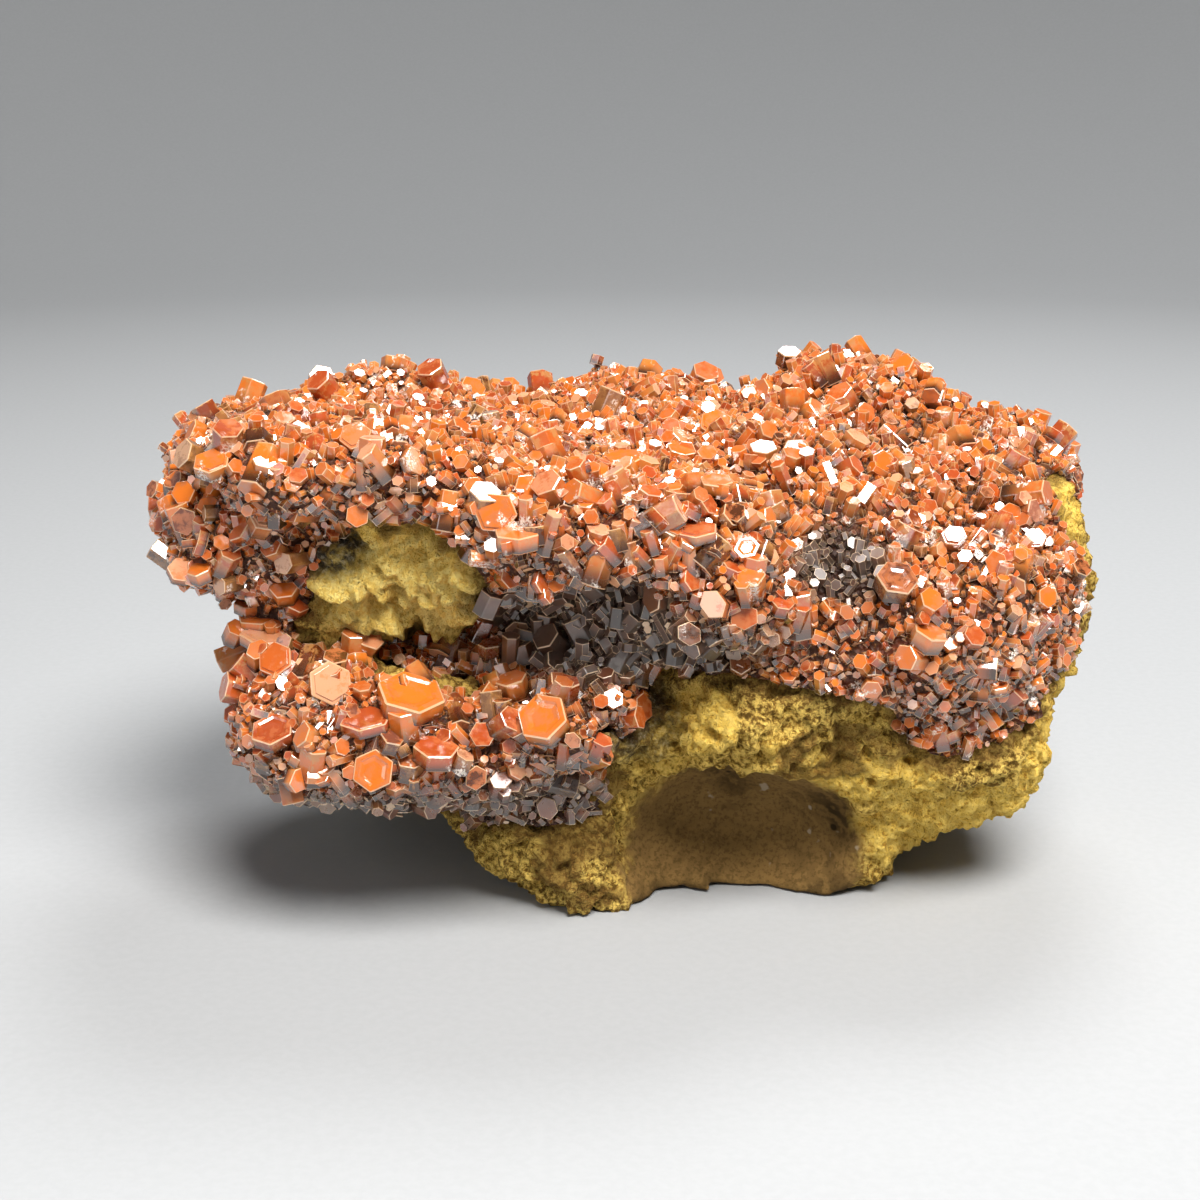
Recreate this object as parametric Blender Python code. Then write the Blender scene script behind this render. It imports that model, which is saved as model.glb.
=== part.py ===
"""Vanadinite on matrix: a yellow limonite rock carrying crusts of hexagonal vanadinite crystals.

+X runs to the rock's right, +Y to its back and +Z up. The origin lies on its flat underside.
Sizes in the tables are in millimetres, and MM turns them into Blender's metres.
"""

import math
import random

import bmesh
import bpy
from mathutils import Matrix, Vector, noise
from mathutils.bvhtree import BVHTree

MM = 0.001
AXES = ((1, 0, 0), (0, 1, 0), (0, 0, 1))
SIXTH_OF_A_TURN = math.pi / 3

# Driving dimensions
VOXEL = 1.5  # grain of the working meshes
NOISE = ((26, 4.0), (11, 2.2), (5, 1.2))  # wavelength and height of the rock's roughness
ROCK_FACES = 1600
BED_FACES = 1400
ROCK_DEPTH = 4.0  # how far the rock lies under the specimen's form where crystals grew on it
BED_DEPTH = 0.0  # how far the crystal bed lies under it there
BED_DIVE = 3.0  # how far the bed's edge sinks where the crust ends
CRUST_GAP = 0.3  # clearance between rock and crust
WAY_OUT_ROUNDS = 40  # more rounds hold the clearance better in sharp corners
RAGGED = 4.0  # how far the crust's borders wander
RAGGED_SCALE = 7.0
NOISE_APART = 50  # keeps the noise of the three axes from repeating
SMOOTHING = 12  # rounds of smoothing that blend the swells into one rock
BORDER_STEEPNESS = 4  # how quickly the crust thins out at its border
LARGE_PROUD = 0.2  # how far a large crystal's middle stands out of the bed, as a share of its length
SPREAD_CRYSTALS = 66  # medium crystals between the large ones
SPREAD_ACROSS = (2.8, 4.6)
SPREAD_LENGTH = (0.6, 1.3)  # times the width
SPREAD_PROUD = 0.15
SPREAD_TILT = 0.7
SPREAD_COVER = 0.9  # they stay this far inside the crust's border
SPREAD_SEED = 7
FLOOR_BLOCK = (0.3, 0.3, 0.1)  # metres

ROCK_COLOUR = (0.50, 0.34, 0.11, 1)
ROCK_ROUGHNESS = 0.9
CRYSTAL_COLOUR = (0.52, 0.14, 0.05, 1)
CRYSTAL_ROUGHNESS = 0.35

# The rock's swells: centre, radii, and squareness, from 2 for an ellipsoid to 4 for a rounded box.
SWELLS = {
    "plateau": ((-4, 6, 57), (62, 39, 13), 3.2),
    "back_rim": ((2, 30, 64), (48, 15, 9), 2.4),
    "left_hump": ((-40, 22, 63), (25, 20, 12), 2),
    "left_end": ((-57, -6, 57), (16, 25, 11), 2.4),
    "left_top": ((-58, 8, 65), (14, 18, 9), 2),
    "left_neck": ((-46, -4, 44), (14, 24, 12), 2.2),
    "peak": ((36, 16, 65), (18, 18, 15), 2.2),
    "peak_front": ((28, -8, 61), (20, 20, 12), 2),
    "shoulder": ((62, 14, 57), (13, 19, 11), 2.2),
    "right_end": ((57, 4, 47), (18, 31, 20), 2.6),
    "brow_left": ((-40, -19, 70), (25, 21, 6), 2.4),
    "brow_centre": ((-8, -28, 59), (23, 18, 11), 2.2),
    "brow_right": ((12, -27, 54), (20, 18, 14), 2),
    "right_front": ((42, -17, 46), (24, 22, 18), 2.4),
    "core": ((4, 9, 36), (60, 34, 27), 3),
    "shelf": ((-30, -24, 30), (30, 20, 12), 2.4),
    "shelf_left": ((-50, -6, 27), (13, 27, 16), 2.4),
    "shelf_tip": ((-8, -28, 33), (13, 16, 10), 2),
    "yellow_face": ((18, -19, 25), (20, 14, 10), 2),
    "yellow_lump": ((16, -26, 31), (9, 12, 9), 2.2),
    "keel": ((15, 0, 9), (36, 33, 14), 2.6),
    "buttress": ((-9, -13, 15), (16, 20, 19), 2),
    "foot": ((-5, -20, 9), (12, 14, 12), 2),
    "right_low": ((43, -6, 24), (24, 26, 16), 2.6),
    "right_lobe": ((59, 4, 29), (12, 20, 13), 2),
}

# The rock's hollows, in the same form.
HOLLOWS = {
    "dish": ((18, -39, 10), (21, 24, 14), 2.2),
    "window": ((-35, -43, 54), (16, 15, 13), 2.4),
    "window_foot": ((-20, -43, 45), (14, 12, 6), 2),
    "under_brow": ((-7, -44, 51), (14, 14, 6), 2),
    "crevice": ((4, -44, 41), (14, 12, 6), 2),
    "crevice_foot": ((5, -40, 31), (5, 11, 9), 2),
    "cave": ((30, -42, 59), (9, 10, 6), 2),
    "lump_hollow": ((31, -40, 29), (8, 12, 8), 2),
}

# Where crystals grew, in the same form, and where the rock stayed bare.
GROWTH = {
    "roof": ((0, -4, 76), (90, 56, 29), 3),
    "left_end": ((-62, -8, 55), (22, 34, 15), 2.4),
    "brow": ((-4, -40, 58), (30, 20, 14), 2.4),
    "ledge": ((27, -36, 49), (16, 24, 13), 2.2),
    "recess": ((-6, -36, 46), (22, 16, 14), 2.4),
    "right_face": ((50, -16, 48), (25, 36, 28), 2),
    "shelf": ((-34, -26, 28), (44, 26, 17), 2.4),
    "shelf_end": ((-50, -8, 26), (22, 30, 15), 2.4),
}
BARE = {
    "window": ((-34, -34, 52), (14, 16, 11), 2.6),
    "window_foot": ((-28, -34, 43), (12, 14, 4), 2),
    "yellow_face": ((18, -36, 20), (23, 26, 18), 2.4),
    "right_patch": ((71, -8, 60), (7, 10, 7), 2),
    "right_foot": ((67, -8, 25), (17, 26, 13), 2.4),
}

# The large crystals: the place on the crust that they grow from, the width across corners, the
# length, and the way the prism's axis points.
LARGE_CRYSTALS = [
    # left end
    ((-59, -33, 71), 5.7, 2.0, (-0.05, -0.7, 0.7)),
    ((-51, -17, 74), 3.6, 1.8, (0.1, -0.6, 0.8)),
    ((-51, -38, 72), 3.4, 1.7, (0.17, -0.55, 0.8)),
    ((-49, -39, 70), 1.7, 3.4, (0, -0.4, 0.9)),
    ((-41, -41, 70), 1.8, 4.8, (0.6, -0.35, 0.7)),
    ((-37, -41, 70), 2.0, 4.5, (0.05, -0.3, 0.95)),
    ((-34, -40, 72), 3.5, 5.3, (-0.45, -0.5, 0.7)),
    ((-38, -33, 75), 4.9, 1.7, (-0.1, -0.8, 0.55)),
    ((-53, -31, 62), 4.4, 3.5, (0.3, -0.7, 0.5)),
    ((-52, -29, 58), 1.9, 4.7, (0.6, -0.5, 0.5)),
    ((-65, -26, 62), 4.4, 1.8, (-0.2, -0.95, 0.1)),
    ((-61, -26, 63), 3.3, 2.1, (-0.1, -0.7, 0.6)),
    ((-56, -30, 60), 2.1, 5.0, (-0.1, -0.3, 0.95)),
    ((-66, -28, 54), 4.6, 1.5, (0.26, -0.74, 0.6)),
    ((-62, -29, 54), 4.4, 2.1, (-0.2, -0.5, 0.85)),
    ((-60, -24, 50), 3.3, 3.0, (0.1, -0.8, 0.5)),
    ((-50, -26, 51), 4.5, 2.7, (0, -0.7, 0.65)),
    ((-57, -21, 46), 5.2, 1.8, (0.05, -0.35, 0.93)),
    ((-49, -26, 48), 3.6, 2.1, (0.3, -0.6, 0.6)),
    # brow
    ((-18, -43, 67), 6.1, 1.7, (-0.1, -0.93, 0.3)),
    ((-14, -38, 69), 4.0, 1.4, (0.3, -0.8, 0.4)),
    ((-14, -44, 66), 2.4, 4.7, (0, -0.25, 0.97)),
    ((-15, -46, 63), 6.4, 2.4, (0, -0.2, 0.98)),
    ((-11, -45, 63), 2.5, 6.4, (0.25, -0.3, 0.92)),
    ((-8, -45, 65), 2.2, 3.9, (-0.5, -0.4, 0.75)),
    ((-6, -38, 70), 3.1, 4.2, (-0.35, -0.5, 0.8)),
    ((-4, -45, 64), 3.6, 1.9, (0.2, -0.5, 0.85)),
    ((-7, -46, 59), 2.2, 5.0, (-0.45, -0.4, 0.75)),
    ((-1, -46, 61), 2.8, 3.9, (-0.6, -0.35, 0.7)),
    ((3, -44, 60), 2.1, 3.6, (-0.6, -0.35, 0.7)),
    ((0, -23, 69), 6.8, 2.1, (-0.1, -0.3, 0.95)),
    ((1, -26, 68), 3.5, 3.2, (-0.4, -0.5, 0.75)),
    ((8, -16, 68), 4.6, 1.8, (0.2, -0.35, 0.92)),
    ((13, -36, 69), 4.8, 2.1, (0, -0.42, 0.9)),
    ((3, -41, 68), 3.4, 2.4, (0.3, -0.45, 0.85)),
    ((4, -44, 62), 2.2, 3.9, (-0.25, -0.4, 0.88)),
    ((7, -41, 65), 5.1, 2.0, (-0.45, -0.45, 0.75)),
    ((10, -42, 63), 6.5, 1.5, (-0.05, -0.3, 0.95)),
    ((9, -44, 59), 2.2, 4.5, (0, -0.3, 0.95)),
    ((18, -43, 58), 3.4, 3.7, (0.1, -0.35, 0.93)),
    ((17, -40, 64), 1.8, 3.7, (0.6, -0.4, 0.6)),
    ((17, -42, 61), 3.7, 1.7, (0, -0.8, 0.5)),
    ((15, 0, 70), 5.4, 1.9, (0, -0.8, 0.6)),
    ((22, -12, 71), 3.4, 2.4, (0.3, -0.7, 0.6)),
    ((35, -13, 70), 4.3, 1.8, (0.45, -0.4, 0.8)),
    # recess
    ((-17, -34, 53), 3.5, 1.7, (-0.2, -0.7, 0.65)),
    ((-11, -27, 51), 2.4, 3.6, (-0.1, -0.4, 0.9)),
    ((-19, -33, 52), 7.6, 2.5, (0.05, -0.2, 0.97)),
    ((-6, -28, 49), 3.3, 2.4, (0.1, -0.6, 0.75)),
    ((-8, -25, 47), 3.9, 2.1, (0.1, -0.5, 0.85)),
    ((-20, -23, 45), 2.4, 3.6, (-0.5, -0.5, 0.6)),
    ((1, -32, 49), 7.1, 2.6, (0.25, -0.35, 0.9)),
    ((17, -44, 52), 4.1, 1.7, (-0.05, -0.95, 0.25)),
    ((13, -45, 54), 4.2, 2.0, (-0.4, -0.8, 0.35)),
    ((15, -43, 50), 3.7, 1.7, (0, -0.3, 0.95)),
    ((22, -40, 52), 3.4, 2.0, (0.2, -0.6, 0.75)),
    # shelf
    ((-53, -24, 42), 9.7, 1.8, (0.05, -0.3, 0.95)),
    ((-54, -22, 45), 7.0, 1.5, (-0.05, -0.3, 0.95)),
    ((-51, -31, 41), 5.6, 2.1, (-0.1, -0.85, 0.5)),
    ((-43, -37, 40), 6.7, 1.9, (0.3, -0.85, 0.3)),
    ((-40, -29, 41), 3.9, 5.4, (0.1, -0.3, 0.95)),
    ((-31, -40, 38), 10.1, 2.7, (0.15, -0.55, 0.82)),
    ((-37, -42, 35), 7.8, 1.6, (-0.1, -0.35, 0.93)),
    ((-34, -42, 33), 4.3, 2.6, (0.3, -0.6, 0.7)),
    ((-51, -40, 33), 6.7, 2.0, (-0.1, -0.7, 0.7)),
    ((-45, -42, 33), 3.8, 2.6, (-0.6, -0.6, 0.5)),
    ((-36, -44, 29), 6.3, 1.9, (0, -0.88, 0.35)),
    ((-48, -42, 27), 4.1, 2.0, (0.6, -0.6, 0.1)),
    ((-31, -43, 28), 4.1, 3.5, (0.1, -0.6, 0.7)),
    ((-27, -44, 31), 6.9, 2.6, (0.1, -0.35, 0.93)),
    ((-27, -43, 27), 2.5, 4.1, (0, -0.4, 0.9)),
    ((-29, -22, 40), 3.4, 1.2, (0.1, -0.4, 0.9)),
    ((-17, -28, 40), 2.8, 6.3, (0.05, -0.3, 0.95)),
    ((-20, -27, 41), 3.9, 2.7, (0, -0.3, 0.95)),
    ((-16, -34, 37), 4.9, 3.2, (-0.2, -0.3, 0.92)),
    ((-9, -38, 38), 4.2, 3.2, (0.1, -0.3, 0.95)),
    ((-18, -40, 34), 4.4, 4.1, (0.5, -0.6, 0.5)),
    ((-11, -41, 35), 7.9, 2.7, (-0.22, -0.75, 0.6)),
    ((-9, -40, 29), 2.6, 5.0, (0.1, -0.5, 0.8)),
    ((-5, -39, 29), 3.5, 4.4, (0.6, -0.5, 0.4)),
    ((-1, -35, 35), 3.5, 4.7, (0.8, -0.45, 0.2)),
    ((2, -31, 34), 4.5, 1.5, (0.75, -0.45, 0.3)),
    ((-4, -41, 30), 3.2, 3.8, (0.2, -0.6, 0.7)),
    ((0, -33, 32), 3.3, 2.4, (0.5, -0.6, 0.5)),
    ((-2, -30, 42), 4.2, 3.0, (0.1, -0.5, 0.85)),
    ((-4, -31, 40), 2.1, 3.3, (-0.8, -0.4, 0.3)),
    ((1, -29, 44), 2.1, 5.1, (0.3, -0.5, 0.7)),
    # peak and shoulder
    ((18, -18, 68), 2.7, 3.3, (-0.2, -0.4, 0.9)),
    ((21, -18, 69), 4.2, 2.4, (0, -0.6, 0.8)),
    ((25, -21, 69), 3.6, 2.7, (0.2, -0.5, 0.8)),
    ((24, -27, 67), 2.3, 5.3, (-0.35, -0.4, 0.85)),
    ((33, -26, 65), 2.1, 3.3, (0.1, -0.4, 0.9)),
    ((33, -21, 68), 3.3, 3.0, (0.6, -0.5, 0.5)),
    ((26, 21, 78), 4.0, 2.7, (0.1, -0.6, 0.8)),
    # right flank
    ((59, -18, 65), 4.2, 7.0, (0.8, -0.5, 0.25)),
    ((61, -20, 62), 3.9, 2.7, (0.5, -0.8, 0.1)),
    ((61, -23, 57), 3.6, 2.4, (-0.1, -0.8, 0.5)),
    ((55, -16, 63), 3.4, 2.4, (0.6, -0.7, 0.4)),
    ((58, -20, 61), 3.6, 1.8, (0.1, -0.9, 0.35)),
    ((39, -33, 58), 1.7, 3.8, (0.9, -0.35, 0.1)),
    ((39, -31, 60), 1.8, 3.5, (0.6, -0.4, 0.6)),
    ((38, -25, 63), 1.8, 3.6, (-0.5, -0.4, 0.7)),
    ((39, -37, 55), 6.3, 2.9, (0.1, -0.7, 0.65)),
    ((43, -39, 52), 4.0, 2.9, (0.3, -0.7, 0.6)),
    ((43, -40, 47), 5.5, 2.9, (0.3, -0.5, 0.8)),
    ((39, -15, 68), 3.8, 1.8, (0.3, -0.85, 0.35)),
    ((54, -32, 56), 3.8, 2.0, (-0.1, -0.9, 0.35)),
    ((54, -35, 53), 2.0, 3.5, (0.1, -0.5, 0.85)),
    ((61, -31, 51), 3.4, 2.1, (0.4, -0.8, 0.4)),
    ((48, -30, 59), 3.8, 3.2, (0, -0.8, 0.55)),
    ((50, -38, 47), 3.5, 2.0, (0.2, -0.8, 0.5)),
]


def level(shape, point):
    """Below 1 inside a swell, hollow or zone, and above 1 outside it."""
    centre, radii, squareness = shape
    return sum(abs((p - c) / r) ** squareness for p, c, r in zip(point, centre, radii))


def swell(bm, centre, radii, squareness):
    """Adds a closed superellipsoid."""
    ball = bmesh.ops.create_icosphere(bm, subdivisions=5, radius=1)
    for vert in ball["verts"]:
        reach = sum(abs(part) ** squareness for part in vert.co) ** (1 / squareness)
        vert.co = (Vector(centre) + Matrix.Diagonal(radii) @ vert.co / reach) * MM


def object_of(name, bm):
    mesh = bpy.data.meshes.new(name)
    bm.to_mesh(mesh)
    bm.free()
    made = bpy.data.objects.new(name, mesh)
    bpy.context.scene.collection.objects.link(made)
    return made


def apply_modifiers(obj):
    graph = bpy.context.evaluated_depsgraph_get()
    baked = bpy.data.meshes.new_from_object(obj.evaluated_get(graph))
    obj.modifiers.clear()
    obj.data = baked


def remesh(obj, size=VOXEL):
    voxels = obj.modifiers.new("voxels", "REMESH")
    voxels.mode = "VOXEL"
    voxels.voxel_size = size * MM
    apply_modifiers(obj)


def decimate(obj, faces):
    fewer = obj.modifiers.new("fewer faces", "DECIMATE")
    obj.data.calc_loop_triangles()
    fewer.ratio = faces / len(obj.data.loop_triangles)
    fewer.use_collapse_triangulate = True
    apply_modifiers(obj)


def boolean(obj, other, operation, own_overlaps=False):
    """Joins the other object to obj or cuts it from obj, and removes it."""
    change = obj.modifiers.new(operation.lower(), "BOOLEAN")
    change.operation = operation
    change.object = other
    change.use_self = own_overlaps
    apply_modifiers(obj)
    bpy.data.objects.remove(other)


def shift_surface(obj, distance):
    """Moves each vertex along its normal by distance(its place in millimetres)."""
    bm = bmesh.new()
    bm.from_mesh(obj.data)
    bm.normal_update()
    moved = [v.co + v.normal * distance(v.co / MM) * MM for v in bm.verts]
    for vert, co in zip(bm.verts, moved):
        vert.co = co
    bm.to_mesh(obj.data)
    bm.free()


def copy_of(obj, name):
    made = obj.copy()
    made.data = obj.data.copy()
    made.name = name
    bpy.context.scene.collection.objects.link(made)
    return made


def way_out(vert, distance):
    """A short move that takes a vertex at least the distance out from each face around it."""
    move = vert.normal * distance
    for _ in range(WAY_OUT_ROUNDS):
        for face in vert.link_faces:
            move += face.normal * max(distance - face.normal.dot(move), 0)
    return move


def inflated(obj, distance):
    """A copy whose faces all lie the given distance outside the object's."""
    made = copy_of(obj, "inflated")
    bm = bmesh.new()
    bm.from_mesh(made.data)
    bmesh.ops.triangulate(bm, faces=bm.faces)
    bm.normal_update()
    moved = [vert.co + way_out(vert, distance * MM) for vert in bm.verts]
    for vert, co in zip(bm.verts, moved):
        vert.co = co
    bm.to_mesh(made.data)
    bm.free()
    return made


def lumps(name, table):
    bm = bmesh.new()
    for centre, radii, squareness in table.values():
        swell(bm, centre, radii, squareness)
    made = object_of(name, bm)
    remesh(made)
    return made


def roughness(place):
    return sum(height * noise.noise(place / scale) for scale, height in NOISE)


def rock_body():
    """The rock at working grain, before its faces are thinned out."""
    rock = lumps("matrix", SWELLS)
    boolean(rock, lumps("hollows", HOLLOWS), "DIFFERENCE")
    remesh(rock)
    soften = rock.modifiers.new("soften", "SMOOTH")
    soften.iterations = SMOOTHING
    apply_modifiers(rock)
    shift_surface(rock, roughness)
    remesh(rock)
    return rock


def floor_block():
    """Everything below the plane that the rock rests on."""
    bm = bmesh.new()
    below = Matrix.Translation((0, 0, -FLOOR_BLOCK[2] / 2)) @ Matrix.Diagonal((*FLOOR_BLOCK, 1))
    bmesh.ops.create_cube(bm, size=1, matrix=below)
    return object_of("floor_block", bm)


def cover(place):
    """1 deep in a zone of growth, 0 on bare rock, and between them at a ragged border."""
    wander = [noise.noise(place / RAGGED_SCALE + NOISE_APART * Vector(axis)) for axis in AXES]
    ragged = place + RAGGED * Vector(wander)
    grown = max(1 - level(zone, ragged) for zone in GROWTH.values())
    bare = max(1 - level(zone, ragged) for zone in BARE.values())
    share = min(max(BORDER_STEEPNESS * grown, 0), 1) * (1 - min(max(BORDER_STEEPNESS * bare, 0), 1))
    return share * share * (3 - 2 * share)


def rock_from(body):
    """The rock itself, sunk under the specimen's form where crystals grew on it, on a flat base."""
    rock = copy_of(body, "matrix")
    shift_surface(rock, lambda place: -ROCK_DEPTH * cover(place))
    remesh(rock)
    decimate(rock, ROCK_FACES)
    boolean(rock, floor_block(), "DIFFERENCE")
    return rock


def bed_from(body):
    """The crystal bed before the rock is taken out of it, sunk out of the way where nothing grew."""
    bed = copy_of(body, "crystal_crust")
    shift_surface(bed, lambda place: -BED_DIVE + (BED_DIVE - BED_DEPTH) * cover(place))
    remesh(bed)
    decimate(bed, BED_FACES)
    return bed


def prism(bm, point, axis, across, length, proud, turn):
    """A hexagonal crystal whose middle stands proud of a point, as a share of its length."""
    axis = axis.normalized()
    upright = axis.to_track_quat("Z", "Y").to_matrix().to_4x4()
    place = Matrix.Translation(point + axis * proud * length * MM) @ upright
    bmesh.ops.create_cone(
        bm, cap_ends=True, segments=6, radius1=across / 2 * MM, radius2=across / 2 * MM,
        depth=length * MM, matrix=place @ Matrix.Rotation(turn, 4, "Z"),
    )


def spread(rng, bed):
    """Seats for the medium crystals: well apart, spread by area where crystals grew."""
    mesh = bed.data
    areas = [face.area for face in mesh.polygons]
    seats = []
    while len(seats) < SPREAD_CRYSTALS:
        face = rng.choices(mesh.polygons, areas)[0]
        corners = [mesh.vertices[index].co for index in face.vertices]
        shares = [rng.random() for _ in corners]
        point = sum((co * share for co, share in zip(corners, shares)), Vector()) / sum(shares)
        apart = all((point - other).length > 2 * SPREAD_ACROSS[1] * MM for other, _ in seats)
        if apart and cover(point / MM) > SPREAD_COVER:
            seats.append((point, face.normal.copy()))
    return seats


def crystals_on(bed):
    """All the crystals that are large enough to be formed, in one mesh."""
    rng = random.Random(SPREAD_SEED)
    tree = BVHTree.FromPolygons(
        [vert.co for vert in bed.data.vertices],
        [face.vertices for face in bed.data.polygons],
    )
    bm = bmesh.new()
    for place, across, length, axis in LARGE_CRYSTALS:
        point = tree.find_nearest(Vector(place) * MM)[0]
        prism(bm, point, Vector(axis), across, length, LARGE_PROUD, rng.uniform(0, SIXTH_OF_A_TURN))
    for point, normal in spread(rng, bed):
        axis = normal + Vector([rng.uniform(-SPREAD_TILT, SPREAD_TILT) for _ in AXES])
        across = rng.uniform(*SPREAD_ACROSS)
        length = across * rng.uniform(*SPREAD_LENGTH)
        prism(bm, point, axis, across, length, SPREAD_PROUD, rng.uniform(0, SIXTH_OF_A_TURN))
    return object_of("crystals", bm)


def keep_largest_island(obj):
    """Drops loose slivers, so that the crust is one body."""
    bm = bmesh.new()
    bm.from_mesh(obj.data)
    left = set(bm.verts)
    islands = []
    while left:
        island = {left.pop()}
        edge_of_island = list(island)
        while edge_of_island:
            vert = edge_of_island.pop()
            for edge in vert.link_edges:
                other = edge.other_vert(vert)
                if other in left:
                    left.remove(other)
                    island.add(other)
                    edge_of_island.append(other)
        islands.append(island)
    largest = max(islands, key=len)
    bmesh.ops.delete(bm, geom=[v for v in bm.verts if v not in largest], context="VERTS")
    bm.to_mesh(obj.data)
    bm.free()


def finish(obj, colour, roughness):
    """Gives a node its own material and leaves it in flat triangles."""
    bm = bmesh.new()
    bm.from_mesh(obj.data)
    bmesh.ops.triangulate(bm, faces=bm.faces)
    bm.to_mesh(obj.data)
    bm.free()
    material = bpy.data.materials.new(obj.name)
    material.use_nodes = True
    shader = material.node_tree.nodes["Principled BSDF"]
    shader.inputs["Base Color"].default_value = colour
    shader.inputs["Roughness"].default_value = roughness
    obj.data.materials.clear()
    obj.data.materials.append(material)


def main():
    for old in list(bpy.data.objects):
        bpy.data.objects.remove(old)
    body = rock_body()
    rock = rock_from(body)
    crust = bed_from(body)
    bpy.data.objects.remove(body)
    rock.name = "matrix"
    boolean(crust, crystals_on(crust), "UNION", own_overlaps=True)
    boolean(crust, inflated(rock, CRUST_GAP), "DIFFERENCE")
    keep_largest_island(crust)
    finish(rock, ROCK_COLOUR, ROCK_ROUGHNESS)
    finish(crust, CRYSTAL_COLOUR, CRYSTAL_ROUGHNESS)


main()
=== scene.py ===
"""Vanadinite on matrix: the looks of a limonite rock under crusts of hexagonal vanadinite crystals.

Laid out as an add-on. Sizes in the tables are in millimetres, and MM turns them into metres.
"""

import math
import random

import bmesh
import bpy
import numpy as np
from bpy.props import FloatProperty, FloatVectorProperty, IntProperty, PointerProperty
from mathutils import Matrix, Vector, noise
from mathutils.bvhtree import BVHTree
from mathutils.kdtree import KDTree


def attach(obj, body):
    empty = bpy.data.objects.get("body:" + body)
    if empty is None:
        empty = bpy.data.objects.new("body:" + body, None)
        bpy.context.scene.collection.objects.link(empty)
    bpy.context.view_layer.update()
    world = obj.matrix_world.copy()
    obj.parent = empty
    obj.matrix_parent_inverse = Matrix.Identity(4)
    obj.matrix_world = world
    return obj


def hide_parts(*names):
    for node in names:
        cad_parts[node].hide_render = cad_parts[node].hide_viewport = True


bl_info = {
    "name": "Vanadinite on matrix",
    "version": (1, 0, 0),
    "blender": (4, 5, 0),
    "location": "View3D > Sidebar > Vanadinite",
    "description": "Builds a limonite rock, its crystal crusts and the studio around them",
    "category": "Object",
}

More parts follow.
